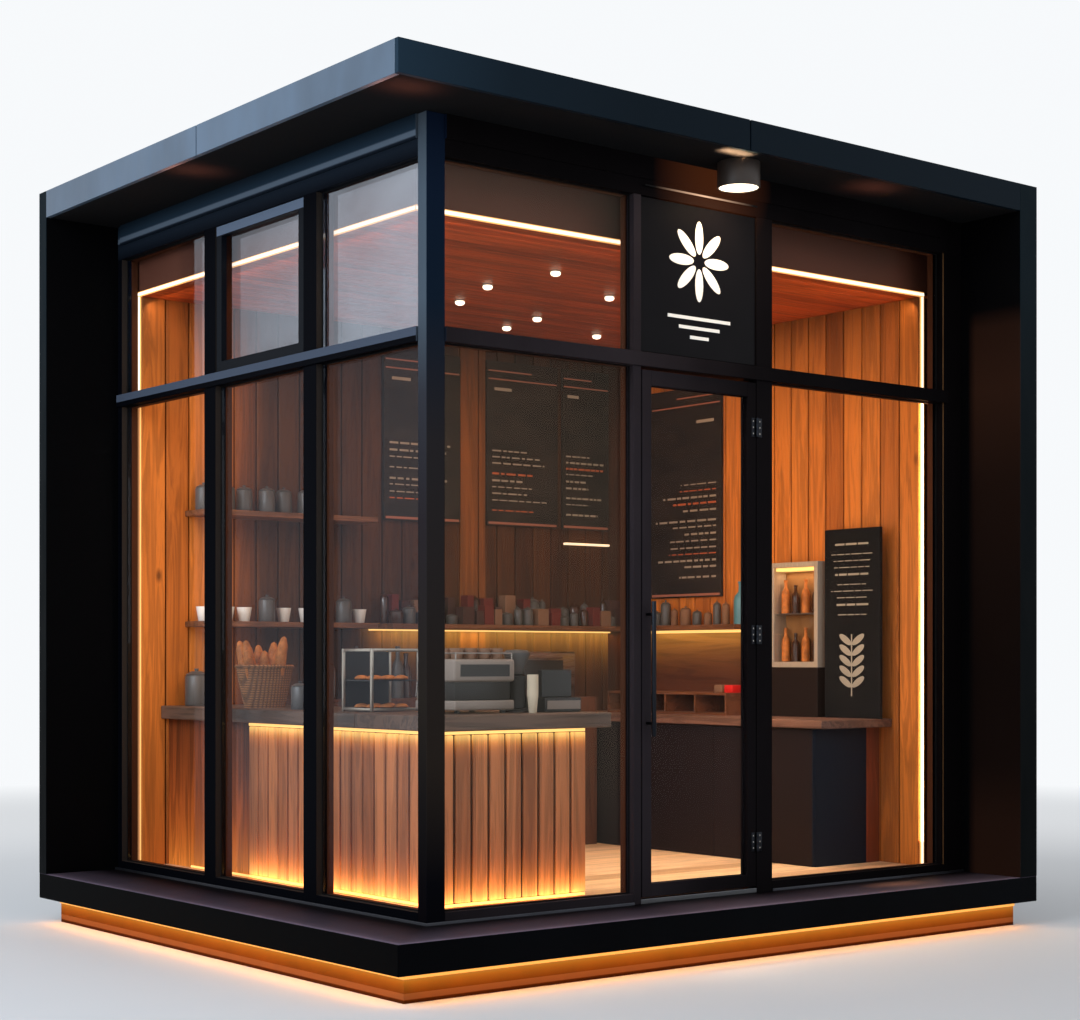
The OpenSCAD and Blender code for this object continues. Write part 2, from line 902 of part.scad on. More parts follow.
module menu_boards() {
    narrow_x = end_lining_x - narrow_board_margin - narrow_board_w;
    middle_x = narrow_x - wall_board_gap - wall_board_w;
    left_x = middle_x - whole_board_gap - wall_board_w;
    head_z = ceiling_z - wall_board_drop;
    end_head_z = ceiling_z - end_board_drop;
    end_y1 = back_lining_y - end_board_gap;
    color("#2a2724") on_slab() {
        for (board = [
            [left_x, wall_board_w], [middle_x, wall_board_w], [narrow_x, narrow_board_w]
        ])
            block(
                [board[0], back_lining_y - wall_board_t, head_z - wall_board_h],
                [board[0] + board[1], back_lining_y, head_z]
            );
        block(
            [end_lining_x - wall_board_t, end_y1 - end_board_w, end_head_z - end_board_h],
            [end_lining_x, end_y1, end_head_z]
        );
    }
}

module poster_stand() {
    color("#1c1a1a") on_slab() block(
        [poster_x, poster_y, wall_worktop_z],
        [poster_x + poster_t, poster_y + poster_w, wall_worktop_z + poster_h]
    );
}

// Shallow lit case against the end wall, on a closed foot
module display_case() {
    x0 = end_lining_x - case_depth;
    z0 = wall_worktop_z;
    color("#8f8a80") on_slab() difference() {
        block([x0, case_y, z0], [end_lining_x, case_y + case_w, z0 + case_h]);
        block(
            [x0 - over, case_y + case_rim, z0 + case_foot_h + case_rim],
            [end_lining_x - case_rim, case_y + case_w - case_rim, z0 + case_h - case_rim]
        );
    }
}

module display_glass() {
    x0 = end_lining_x - case_depth + case_glass_set;
    z0 = wall_worktop_z;
    color("#c9b68f", 0.5) on_slab() block(
        [x0, case_y + case_rim, z0 + case_foot_h + case_rim],
        [x0 + case_glass_t, case_y + case_w - case_rim, z0 + case_h - case_rim]
    );
}

// Drum lamp under the soffit, open below for its lens
module soffit_lamp() {
    color("#2a2624") on_slab() translate([lamp_x, lamp_y, soffit_z - lamp_h]) difference() {
        cylinder(h = lamp_h, r = lamp_r);
        translate([0, 0, -over]) cylinder(h = lamp_recess + over, r = lamp_r - lamp_wall);
    }
}

module lamp_lens() {
    color("#fff2dd") on_slab() translate([lamp_x, lamp_y, soffit_z - lamp_h + lens_set])
        cylinder(h = lamp_recess - lens_set, r = lamp_r - lamp_wall - lens_gap);
}

base_plinth();
base_lights();
floor_slab();
room_floor();
right_wall();
back_wall();
roof_deck();
front_fascia();
left_fascia();
corner_post();
front_uprights();
front_jamb();
left_uprights();
left_jamb();
front_header();
left_header();
front_transoms();
left_transoms();
transom_covers();
front_sills();
left_sills();
door_threshold();
front_panes();
left_panes();
sign_panel();
vent_sash();
door_lock_stile();
door_hinge_stile();
door_top_rail();
door_bottom_rail();
door_glass();
door_pulls();
door_hinges();
frame_hinges();
ceiling();
front_bulkhead();
left_bulkhead();
end_wall_lining();
back_wall_lining();
room_lights();
downlights();
front_counter();
side_counter();
counter_boards();
front_worktop();
side_worktop();
furniture_lights();
wall_counter();
wall_counter_end();
wall_worktop();
back_bar();
wall_shelves();
menu_boards();
poster_stand();
display_case();
display_glass();
soffit_lamp();
lamp_lens();
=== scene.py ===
"""Street kiosk: the finishes, boards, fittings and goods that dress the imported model."""

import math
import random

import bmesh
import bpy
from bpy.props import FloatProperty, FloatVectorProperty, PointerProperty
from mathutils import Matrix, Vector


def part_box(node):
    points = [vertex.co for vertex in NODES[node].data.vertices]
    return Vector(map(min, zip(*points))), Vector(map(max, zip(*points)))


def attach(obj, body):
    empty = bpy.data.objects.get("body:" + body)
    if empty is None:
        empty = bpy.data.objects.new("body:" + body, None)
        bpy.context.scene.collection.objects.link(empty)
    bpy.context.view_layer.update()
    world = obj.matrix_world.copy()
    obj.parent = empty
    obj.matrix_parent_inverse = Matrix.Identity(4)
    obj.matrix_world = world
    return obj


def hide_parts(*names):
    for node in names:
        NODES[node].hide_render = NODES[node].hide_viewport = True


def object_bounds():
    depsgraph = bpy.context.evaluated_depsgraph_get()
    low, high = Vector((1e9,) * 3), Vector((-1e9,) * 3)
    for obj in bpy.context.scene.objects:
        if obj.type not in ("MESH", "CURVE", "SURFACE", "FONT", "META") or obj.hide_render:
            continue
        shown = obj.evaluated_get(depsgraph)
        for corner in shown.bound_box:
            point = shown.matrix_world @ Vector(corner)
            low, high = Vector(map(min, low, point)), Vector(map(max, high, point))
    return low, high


bl_info = {
    "name": "Street Kiosk",
    "version": (1, 0, 0),
    "blender": (4, 5, 0),
    "location": "View3D > Sidebar > Kiosk",
    "description": "Dresses a glazed street kiosk with its finishes, boards and goods",
    "category": "Object",
}

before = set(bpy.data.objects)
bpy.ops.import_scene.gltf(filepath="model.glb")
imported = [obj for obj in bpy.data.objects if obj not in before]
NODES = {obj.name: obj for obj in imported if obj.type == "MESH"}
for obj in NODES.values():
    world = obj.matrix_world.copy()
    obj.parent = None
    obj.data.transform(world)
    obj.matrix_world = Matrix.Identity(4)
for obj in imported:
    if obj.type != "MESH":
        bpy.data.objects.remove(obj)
CAD_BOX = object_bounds()

SLAB_LOW, SLAB_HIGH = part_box("floor_slab")
CORNER = Vector((SLAB_LOW.x, SLAB_LOW.y, SLAB_HIGH.z))
UP = Vector((0, 0, 1))
QUARTER = math.radians(90)
BACKDROP = (0.93, 0.95, 0.97)
FACADE_W, FACADE_H = 4.0, 3.4
HAIR = 0.0005


def at(x, y, z):
    """A point measured from the roof's front left corner and from the top of the slab."""
    return CORNER + Vector((x, y, z))


def tone(red, green, blue):
    """A linear colour from the 0 to 255 steps of a paint chart."""
    def linear(step):
        share = step / 255
        return share / 12.92 if share <= 0.04045 else ((share + 0.055) / 1.055) ** 2.4
    return (linear(red), linear(green), linear(blue))


def scaled(shade, factor):
    return tuple(min(1.0, c * factor) for c in shade)


def length(name, default, description):
    return FloatProperty(
        name=name, description=description, default=default, min=0.0001, unit="LENGTH"
    )


def colour(name, default, description):
    return FloatVectorProperty(
        name=name, description=description, default=default, size=3,
        min=0.0, max=1.0, subtype="COLOR",
    )


def strength(name, default, description):
    return FloatProperty(name=name, description=description, default=default, min=0.0)


class KioskMetal(bpy.types.PropertyGroup):
    easing: length("Edge easing", 0.002, "Radius of the eased edges of the metalwork")
    fine_easing: length("Fine edge easing", 0.0008, "Radius of the edges of the small ironmongery")
    sheet_gap: length("Sheet gap", 0.008, "Gap between two cladding sheets")
    sheet_t: length("Sheet thickness", 0.004, "Thickness of a cladding sheet")
    sheet_w: length("Sheet width", 1.12, "Width of a cladding sheet, about")
    frames: colour("Frames", tone(21, 18, 20), "Coating of the window and door frames")
    bronze: colour("Inner frames", tone(66, 38, 25), "Coating of the frames behind the glass")
    # The side frames' paler blue-grey stands for the sky's light on the side facade: painted light.
    left_frames: colour("Side frames", tone(33, 48, 62), "Coating of the side facade's frames")
    walls: colour("Walls", tone(4, 4, 5), "Coating of the walls beside the facades")
    outer_walls: colour("Outer walls", tone(46, 48, 52), "Coating of the outer wall sheets")
    wall_edge: colour("Wall edge", tone(9, 18, 23), "Coating of the front edge of the walls")
    edges: colour("Roof edge", tone(10, 20, 28), "Coating of the front roof edge sheets")
    # The left roof edge is the front edge's paint; its paler blue tone stands for the sky's light on that
    # side: painted light.
    left_edges: colour("Left roof edge", tone(68, 84, 101), "Coating of the left roof edge sheets")
    sash: colour("Sash", tone(9, 13, 19), "Coating of the opening sash")
    # The slab top's purple-grey is partly a painted sheen, over the worn coating.
    slab_top: colour("Slab top", tone(46, 40, 48), "Worn coating on top of the slab")


class KioskBoards(bpy.types.PropertyGroup):
    plank_w: length("Wall plank", 0.138, "Width of a wall plank, about")
    plank_t: length("Plank thickness", 0.02, "Thickness of a wall plank")
    ceiling_w: length("Ceiling board", 0.095, "Width of a ceiling board, about")
    ceiling_t: length("Ceiling board thickness", 0.015, "Thickness of a ceiling board")
    floor_w: length("Floor board", 0.16, "Width of a floor board, about")
    floor_t: length("Floor board thickness", 0.012, "Thickness of a floor board")
    joint: length("Joint", 0.009, "Gap between two wall planks")
    ceiling_joint: length("Ceiling joint", 0.003, "Gap between two ceiling boards")
    floor_joint: length("Floor joint", 0.0015, "Gap between two floor boards")
    open_joint: length("Counter joint", 0.0025, "Width taken off each side of a counter board")
    easing: length("Board easing", 0.003, "Radius of the eased edges of a board")
    walls: colour("Wall timber", tone(198, 116, 45), "Colour of the wall planks")
    ceiling: colour("Ceiling timber", tone(190, 84, 36), "Colour of the ceiling boards")
    floor: colour("Floor timber", tone(232, 188, 146), "Colour of the floor boards")
    counter: colour("Counter boards", tone(190, 114, 68), "Colour of the counter boards")
    worktop: colour("Worktop", tone(92, 70, 58), "Colour of the counter tops")


class KioskGlow(bpy.types.PropertyGroup):
    cream: colour("Cream light", (1.0, 0.84, 0.68), "Colour of the light strips of the room")
    amber: colour("Amber light", (1.0, 0.44, 0.08), "Colour of the light strips at the foot")
    strip: strength("Strip strength", 1.35, "Strength of the light strips of the room")
    foot: strength("Foot strength", 0.85, "Strength of the light strips at the foot")
    lens: strength("Lens strength", 3.0, "Strength of the lamp lenses")
    # The reach and the upper reach are of the painted glow of the strips' light on the counter boards.
    reach: length("Glow reach", 0.34, "How far the glow climbs up the counter boards")
    head_reach: length("Upper glow reach", 0.15, "How far the glow falls down the counter boards")


class KioskView(bpy.types.PropertyGroup):
    lens_mm: strength("Lens", 65.86, "Focal length in millimetres on a 36 mm sensor")
    shift: strength("Rise", 0.139, "Upward shift of the frame, as a share of its width")
    left: length("Left of the corner", 4.385, "How far the camera stands left of the roof's corner")
    before: length("Before the corner", 6.4445, "How far the camera stands before the roof's corner")
    eye: length("Eye height", 1.12, "Height of the camera above the slab")
    turn_deg: strength("Turn", 38.34, "Turn of the view from the door facade, in degrees")


def made_object(bm, name, finishes, body="kiosk", replaces=(), smooth=None):
    """Turns a bmesh into a finished piece that rides on its body."""
    mesh = bpy.data.meshes.new(name)
    bm.to_mesh(mesh)
    bm.free()
    for entry in finishes:
        mesh.materials.append(finish(entry) if isinstance(entry, str) else entry)
    if smooth is not None:
        mesh.polygons.foreach_set("use_smooth", [True] * len(mesh.polygons))
        mesh.set_sharp_from_angle(angle=math.radians(smooth))
    piece = bpy.data.objects.new(name, mesh)
    bpy.context.scene.collection.objects.link(piece)
    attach(piece, body)
    if replaces:
        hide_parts(*replaces)


def ease(bm, edges, radius, segments=2):
    """Rounds edges off by a radius."""
    bmesh.ops.bevel(
        bm, geom=list(edges), offset=radius, offset_type="OFFSET", segments=segments,
        profile=0.5, affect="EDGES", material=-1, clamp_overlap=True,
    )


def block(bm, low, high, material=0, easing=0.0, segments=2):
    """Adds a box between two corners, with its edges eased."""
    low, high = Vector(low), Vector(high)
    place = Matrix.Translation((low + high) / 2) @ Matrix.Diagonal((*(high - low), 1))
    verts = bmesh.ops.create_cube(bm, size=1.0, matrix=place)["verts"]
    for face in {f for v in verts for f in v.link_faces}:
        face.material_index = material
    if easing:
        ease(bm, {e for v in verts for e in v.link_edges}, easing, segments)


def bar(name, low, high, chosen, easing):
    """A piece that is one eased bar."""
    bm = bmesh.new()
    block(bm, low, high, 0, easing)
    made_object(bm, name, [chosen])


def within(low, high, ends):
    """The corners of a box, with new ends on some of its axes."""
    low, high = Vector(low), Vector(high)
    for axis, (start, end) in ends.items():
        low[axis], high[axis] = start, end
    return low, high


def divided(start, end, count, gap):
    """The ends of each part in a row of equal parts with a gap between them."""
    pitch = (end - start) / count
    return [
        (start + i * pitch + (gap / 2 if i else 0),
         start + (i + 1) * pitch - (gap / 2 if i < count - 1 else 0)) for i in range(count)
    ]


def count_of(run, pitch):
    """How many parts of about a width fill a run."""
    return max(1, round(run / pitch))


def turned(profile, steps=24):
    """A closed turned shape about Z, from (radius, height) points that begin and end on Z."""
    bm = bmesh.new()
    verts = [bm.verts.new((radius, 0, height)) for radius, height in profile]
    edges = [bm.edges.new(pair) for pair in zip(verts, verts[1:])]
    bmesh.ops.spin(
        bm, geom=verts + edges, cent=(0, 0, 0), axis=UP, angle=math.tau,
        steps=steps, use_merge=True,
    )
    bmesh.ops.remove_doubles(bm, verts=bm.verts, dist=1e-6)
    bmesh.ops.recalc_face_normals(bm, faces=bm.faces)
    return bm


def join(bm, part, place, material=0):
    """Adds a part to a bmesh, at a place given by a matrix or a point, and frees the part."""
    if not isinstance(place, Matrix):
        place = Matrix.Translation(place)
    for face in part.faces:
        face.material_index = material
    part.transform(place)
    mesh = bpy.data.meshes.new("part")
    part.to_mesh(mesh)
    part.free()
    bm.from_mesh(mesh)
    bpy.data.meshes.remove(mesh)


def rod(bm, start, end, radius, material=0, steps=16, easing=0.0):
    """Adds a round rod between two points."""
    start, axis = Vector(start), Vector(end) - Vector(start)
    cut, far = min(easing, radius / 2), axis.length
    profile = [(0, 0), (radius - cut, 0)]
    if cut:
        profile += [(radius, cut), (radius, far - cut)]
    profile += [(radius - cut, far), (0, far)]
    turn = UP.rotation_difference(axis).to_matrix().to_4x4()
    join(bm, turned(profile, steps), Matrix.Translation(start) @ turn, material)


def leaf(radius, film, steps, stretch, out, turn):
    """A flat leaf of film, some way out from the origin, then turned."""
    made = turned([(0, 0), (radius, 0), (0, film)], steps)
    place = Matrix.Translation((0, out, 0)) @ Matrix.Diagonal((1, stretch, 1, 1))
    made.transform(Matrix.Rotation(QUARTER, 4, "X") @ Matrix.Rotation(turn, 4, "Z") @ place)
    return made


def merged_copy(node):
    """A bmesh copy of a CAD node, with its loose triangles merged into flat faces."""
    bm = bmesh.new()
    bm.from_mesh(NODES[node].data)
    bmesh.ops.remove_doubles(bm, verts=bm.verts, dist=1e-5)
    bmesh.ops.dissolve_limit(
        bm, angle_limit=math.radians(0.5), verts=bm.verts, edges=bm.edges
    )
    return bm


def parts_of(node):
    """The two corners of each solid of a CAD node, from left to right."""
    merged = merged_copy(node)
    found, seen = [], set()
    for start in merged.verts:
        if start in seen:
            continue
        island, queue = [], [start]
        while queue:
            vert = queue.pop()
            if vert in seen:
                continue
            seen.add(vert)
            island.append(vert.co.copy())
            queue.extend(edge.other_vert(vert) for edge in vert.link_edges)
        found.append([
            Vector([side(point[i] for point in island) for i in range(3)]) for side in (min, max)
        ])
    merged.free()
    return sorted(found, key=lambda pair: tuple(pair[0]))


def eased_node(node, chosen, easing, body="kiosk", sharp_deg=50, smooth=None):
    """Stands for a CAD node with the same shape, its sharp edges eased."""
    bm = merged_copy(node)
    sharp = [
        e for e in bm.edges
        if len(e.link_faces) == 2 and e.calc_face_angle(0) > math.radians(sharp_deg)
    ]
    ease(bm, sharp, easing)
    made_object(bm, node + "_finished", [chosen], body, [node], smooth)


def paint(node, name):
    """Gives a CAD node its finish."""
    materials = NODES[node].data.materials
    materials.clear()
    materials.append(finish(name))


def boarded(node, piece, slot, across, face, width, joint, depth, easing, shade, along, **wood):
    """Stands for a CAD node with a row of boards on a backing sheet.

    across is the axis that the boards follow each other along, depth their thickness, and
    face the axis that they face, as (axis, side), where side is -1 for its low end."""
    low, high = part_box(node)
    axis, side = face
    line = low[axis] + depth if side < 0 else high[axis] - depth
    near, far = (low[axis], line), (line, high[axis])
    front, back = (near, far) if side < 0 else (far, near)
    run = high[across] - low[across]
    count = count_of(run, width)
    material = timber(node + "_timber", shade, along, across, run / count, low[across], **wood)
    bm = bmesh.new()
    block(bm, *within(low, high, {axis: back}), 1)
    for ends in divided(low[across], high[across], count, joint):
        block(bm, *within(low, high, {axis: front, across: ends}), 0, easing)
    made_object(bm, piece, [material, "board_shadow"], replaces=[node])


class Tree:
    """A node tree, with short calls that add nodes and join them."""

    def __init__(self, tree):
        self.tree = tree

    def add(self, kind, inputs=(), **settings):
        made = self.tree.nodes.new(kind)
        for key, value in settings.items():
            setattr(made, key, value)
        for key, value in dict(inputs).items():
            self.feed(made.inputs[key], value)
        return made

    def feed(self, socket, value):
        if isinstance(value, bpy.types.NodeSocket):
            self.tree.links.new(value, socket)
        elif hasattr(value, "__len__") and len(value) == 3 and socket.type == "RGBA":
            socket.default_value = (*value, 1)
        else:
            socket.default_value = value

    def maths(self, operation, *values, clamp=False):
        return self.add("ShaderNodeMath", enumerate(values), operation=operation,
                        use_clamp=clamp).outputs[0]

    def times(self, first, second):
        return self.maths("MULTIPLY", first, second)


class Graph(Tree):
    """A new material's node tree."""

    def __init__(self, name):
        self.material = bpy.data.materials.new(name)
        self.material.use_nodes = True
        super().__init__(self.material.node_tree)
        self.shader = self.tree.nodes["Principled BSDF"]
        self.object = self.add("ShaderNodeTexCoord").outputs["Object"]
        self.axes = self.add("ShaderNodeSeparateXYZ", {0: self.place()}).outputs

    def set(self, **values):
        for key, value in values.items():
            self.feed(self.shader.inputs[key.replace("_", " ")], value)
        return self.material

    def vector(self, operation, *values):
        made = self.add("ShaderNodeVectorMath", enumerate(values), operation=operation)
        return made.outputs["Value" if operation in ("LENGTH", "DISTANCE") else "Vector"]

    def place(self, scale=(1, 1, 1), shift=None):
        """Object coordinates, scaled, with a shift that may come from a node."""
        start = self.object if shift is None else self.vector("ADD", self.object, shift)
        return self.vector("MULTIPLY", start, scale)

    def past(self, axis, line):
        """One past a place on an axis, and nothing before it."""
        return self.maths("GREATER_THAN", self.axes[axis], line)

    def before(self, axis, line):
        """One before a place on an axis, and nothing past it."""
        return self.maths("LESS_THAN", self.axes[axis], line)

    def way(self, axis, start, run, clamp=True):
        """The share of a run along an axis that starts at a place."""
        gone = self.maths("SUBTRACT", self.axes[axis], start)
        return self.maths("DIVIDE", gone, run, clamp=clamp)

    def band(self, axis, start, width):
        """One on a band along an axis that starts at a place, and nothing elsewhere."""
        low, high = sorted((start, start + width))
        return self.times(self.past(axis, low - HAIR), self.before(axis, high + HAIR))

    def noise(self, vector, scale=1.0, detail=3.0, roughness=0.55, distortion=0.0):
        return self.add(
            "ShaderNodeTexNoise",
            {"Vector": vector, "Scale": scale, "Detail": detail,
             "Roughness": roughness, "Distortion": distortion},
        ).outputs[0]

    def cloud(self):
        """Broad clouds of tone, drawn out upwards."""
        return self.noise(self.place((1.3, 1.3, 0.7)), 1.6, 4)

    def dust(self):
        """Streaks of dust that run down."""
        return self.noise(self.place((5, 5, 1.4)), 2.2, 5, 0.65)

    def ramp(self, value, *stops):
        made = self.add("ShaderNodeValToRGB", {0: value})
        points = made.color_ramp.elements
        while len(points) < len(stops):
            points.new(0.5)
        for point, (position, shade) in zip(points, stops):
            point.position = position
            point.color = (*shade, 1) if hasattr(shade, "__len__") else (shade,) * 3 + (1,)
        return made.outputs[0]

    def varied(self, value, shade, low, high):
        """A shade that a noise varies between two shares of itself."""
        return self.ramp(value, (0.3, scaled(shade, low)), (0.7, scaled(shade, high)))

    def mix(self, factor, first, second, blend="MIX"):
        made = self.add("ShaderNodeMix", {0: factor, 6: first, 7: second}, data_type="RGBA",
                        blend_type=blend)
        return made.outputs[2]

    def shaded(self, base, share):
        """A colour darkened by a share."""
        return self.mix(1.0, base, share, "MULTIPLY")

    def glow(self, shade, power):
        """A faint painted glow, an emission that stands for light on a surface: it is seen, and isn't
        sampled as a lamp.
        """
        self.material.cycles.emission_sampling = "NONE"
        self.set(Emission_Color=shade, Emission_Strength=power)

    def bump(self, height, strength, distance=0.001):
        made = self.add(
            "ShaderNodeBump", {"Height": height, "Strength": strength, "Distance": distance}
        )
        self.feed(self.shader.inputs["Normal"], made.outputs[0])

    def peel(self):
        """The fine orange peel of a powder coating."""
        self.bump(self.noise(self.place(), 420, 2), 0.12, 0.0006)


def stretched(across, along, axis):
    """A scale that is finer across an axis than along it."""
    scale = [across] * 3
    scale[axis] = along
    return scale


# Colour ramps of the painted glows that stand for the light strips' light on the boards.
EMBER = ((0.0, (1.0, 0.22, 0.025)), (0.3, (1.0, 0.34, 0.045)), (0.75, (1.0, 0.60, 0.15)))
GOLD = ((0.0, (1.0, 0.38, 0.05)), (0.3, (1.0, 0.48, 0.07)), (0.75, (1.0, 0.62, 0.14)))


def timber(name, shade, along, across=None, board=None, origin=0.0, roughness=0.5,
           contrast=0.6, knots=False, glows=(), stains=(), glow_shades=EMBER):
    """Sawn boards: grain along one axis, each board of its own tone, and an optional painted glow.

    glows holds (axis, line, reach, strength) for light strips along a line: their light is
    painted on as a glow that goes the reach up from the line, or down from it where the reach is
    below zero, and only past a place on another axis where two more numbers give them. Each of the
    stains holds an axis and pairs of a place and the share of its colour that the
    board keeps there: a painted shade."""
    g = Graph(name)
    shift = lot = None
    if board:
        number = g.maths("FLOOR", g.way(across, origin, board, clamp=False))
        lot = g.add("ShaderNodeTexWhiteNoise", {"W": number}, noise_dimensions="1D").outputs
        shift = g.vector("MULTIPLY", lot["Color"], (7.0, 7.0, 7.0))
    figure = g.noise(g.place(stretched(15.0, 0.9, along), shift), 1.0, 5, 0.6, 0.9)
    rings = g.maths("MULTIPLY_ADD", g.maths("SINE", g.times(figure, 26.0)), 0.5, 0.5)
    fibre = g.noise(g.place(stretched(150.0, 3.0, along), shift), 1.0, 4, 0.7)
    grain = g.maths("ADD", g.times(rings, 0.42), g.times(fibre, 0.58))
    low, high = 1 - 0.42 * contrast, 1 + 0.28 * contrast
    base = g.ramp(grain, (0.22, scaled(shade, low * 0.82)), (0.48, scaled(shade, (low + 1) / 2)),
                  (0.72, scaled(shade, high)))
    if knots:
        cell = g.add("ShaderNodeTexVoronoi", {
            "Vector": g.place(stretched(1.6, 0.75, along), shift), "Scale": 1.9})
        eye = g.ramp(cell.outputs["Distance"], (0.02, 0.85), (0.07, 0.0))
        base = g.mix(eye, base, scaled(shade, 0.16))
    if lot:
        base = g.shaded(base, g.ramp(
            lot["Value"], (0.0, (0.66, 0.58, 0.50)), (0.35, (0.86, 0.82, 0.84)),
            (0.7, (1.0, 0.97, 0.9)), (1.0, (1.0, 1.0, 1.0))))
    # Painted shade: each band darkens the boards along its axis.
    for axis, steps in stains:
        start, run = steps[0][0], steps[-1][0] - steps[0][0]
        kept = ((place - start) / run for place, _ in steps)
        base = g.shaded(base, g.ramp(g.way(axis, start, run),
                                     *zip(kept, (share for _, share in steps))))
    g.bump(grain, 0.3 * contrast, 0.0012)
    rough = g.ramp(fibre, (0.2, roughness - 0.08), (0.8, roughness + 0.14))
    g.set(Base_Color=base, Roughness=rough, Specular_IOR_Level=0.35)
    # The painted glow of the light strips' light, given as emission.
    painted_strip_light = None
    for axis, line, reach, power, *past in glows:
        gap = g.way(axis, line, reach, clamp=False)
        near = g.maths("POWER", g.maths("SUBTRACT", 1.0, gap, clamp=True), 3.4)
        near = g.times(g.times(near, power), g.maths("GREATER_THAN", gap, -0.08))
        if past:
            near = g.times(near, g.way(*past, 0.25))
        painted_strip_light = near if painted_strip_light is None else g.maths("ADD", painted_strip_light, near)
    if glows:
        lit = g.ramp(painted_strip_light, *glow_shades)
        g.glow(lit, g.times(painted_strip_light, g.ramp(grain, (0.25, 0.7), (0.7, 1.0))))
    return g.material


def coated_steel(name, shade, roughness, gloss):
    """Powder-coated sheet: a fine orange peel, cloudy tone and faint dust."""
    g = Graph(name)
    dust = g.dust()
    base = g.mix(g.ramp(dust, (0.5, 0.0), (0.85, 0.22)), g.varied(g.cloud(), shade, 0.8, 1.25),
                 scaled(shade, 1.9))
    g.peel()
    rough = g.ramp(dust, (0.3, roughness - 0.05), (0.8, roughness + 0.12))
    return g.set(Base_Color=base, Roughness=rough, Specular_IOR_Level=gloss)


def light_face(name, shade, power):
    """The diffuser of a lamp or a light strip."""
    return Graph(name).set(Base_Color=scaled(shade, 0.9), Roughness=0.5,
                           Emission_Color=shade, Emission_Strength=power)


def room_light(name, shade, power, low_shade):
    """The room's light strips; the one at the back of the side facade is dull low down."""
    g = Graph(name)
    low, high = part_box("left_panes")
    dull = g.times(g.past(1, (low.y + high.y) / 2), g.before(2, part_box("transom_covers")[1].z))
    return g.set(
        Base_Color=g.mix(dull, scaled(shade, 0.9), scaled(low_shade, 0.3)), Roughness=0.5,
        Emission_Color=g.mix(dull, shade, scaled(low_shade, 0.7 / power)), Emission_Strength=power)


def clear_glass(name, tint, mirror, right_mirror=None):
    """Thin float glass, seen through, with a soft mirror of what is before it."""
    g = Graph(name)
    g.material.surface_render_method = "BLENDED"
    if right_mirror is not None:
        # Right of the sign panel the share of mirror differs: a painted reflection, set by place.
        right = g.past(0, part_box("sign_panel")[0].x)
        mirror = g.mix(right, (mirror,) * 3, (right_mirror,) * 3)
    return g.set(Base_Color=tint, Metallic=1.0, Roughness=0.02, Alpha=mirror)


def sky_glass(name, tint, clear, upper):
    """Float glass whose share of mirror is painted by place: a painted sky reflection in the upper
    lights, strongest beside the corner and broken into soft clouds.
    """
    g = Graph(name)
    g.material.surface_render_method = "BLENDED"
    low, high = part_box("left_panes")
    above = g.past(2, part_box("transom_covers")[0].z)
    share = g.ramp(g.way(1, low.y, high.y - low.y), (0.0, upper), (0.33, upper * 0.8),
                   (0.4, upper * 0.6), (0.68, upper * 0.45), (0.78, upper * 0.45), (0.8, clear))
    cloud = g.noise(g.place((1, 0.8, 1.2)), 2.4, 3)
    share = g.times(share, g.ramp(cloud, (0.3, 0.65), (0.7, 1.0)))
    return g.set(Base_Color=tint, Metallic=1.0, Roughness=0.02,
                 Alpha=g.mix(above, (clear,) * 3, share))


def lit_metal(name, shade, glow, reach):
    """A dark lip with a painted glow for the light of the soffit lamp, less and less along X."""
    g = Graph(name)
    low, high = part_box("soffit_lamp")
    away = g.maths("ABSOLUTE", g.maths("SUBTRACT", g.axes[0], (low.x + high.x) / 2 - 0.06))
    near = g.maths("SUBTRACT", 1.0, g.maths("DIVIDE", away, reach), clamp=True)
    g.glow(glow, g.maths("POWER", near, 1.4))
    return g.set(Base_Color=shade, Roughness=0.5, Specular_IOR_Level=0.1)


def painted(name, shade, roughness=0.5, gloss=0.4, mottle=0.12, scale=6.0):
    """Paint, laminate or card with a little variation of tone."""
    g = Graph(name)
    base = g.varied(g.noise(g.place(), scale, 4), shade, 1 - mottle, 1 + mottle)
    g.bump(g.noise(g.place(), 120, 2), 0.03, 0.0005)
    return g.set(Base_Color=base, Roughness=roughness, Specular_IOR_Level=gloss)


def brushed_steel(name, shade, along=0, roughness=0.28):
    """Bare steel, brushed along one axis."""
    g = Graph(name)
    lines = g.noise(g.place(stretched(420.0, 6.0, along)), 1.0, 3)
    rough = g.ramp(lines, (0.3, roughness - 0.05), (0.7, roughness + 0.12))
    g.bump(lines, 0.08, 0.0004)
    return g.set(Base_Color=g.varied(lines, shade, 0.82, 1.0), Metallic=1.0, Roughness=rough)


def slate(name, shade):
    """A chalk board with the haze of wiped chalk."""
    g = Graph(name)
    haze = g.noise(g.place((1.0, 1.0, 2.6)), 3.4, 5, 0.7, 0.6)
    base = g.ramp(haze, (0.35, scaled(shade, 0.8)), (0.75, scaled(shade, 1.9)))
    return g.set(Base_Color=base, Roughness=0.72, Specular_IOR_Level=0.25)


def case_finish(name):
    """Brushed metal round the window of the case, and a dark foot below it."""
    g = Graph(name)
    lines = g.noise(g.place((420, 420, 6)), 1.0, 3)
    metal = g.ramp(lines, (0.3, tone(168, 152, 136)), (0.7, tone(196, 180, 164)))
    foot = g.before(2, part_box("display_glass")[0].z - 0.03)
    return g.set(
        Base_Color=g.mix(foot, metal, tone(30, 20, 17)), Roughness=0.45, Specular_IOR_Level=0.2,
        Metallic=g.maths("MULTIPLY_ADD", foot, -0.4, 0.4))


def navy_and_brown(name):
    """Laminate, dark brown on the side along the room and navy on the end by the glass."""
    g = Graph(name)
    near = g.before(1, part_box("wall_counter")[0].y + 0.01)
    g.bump(g.noise(g.place(), 90, 2), 0.02, 0.0005)
    return g.set(Base_Color=g.mix(near, tone(30, 22, 23), tone(15, 23, 36)), Roughness=0.5,
                 Specular_IOR_Level=0.15)


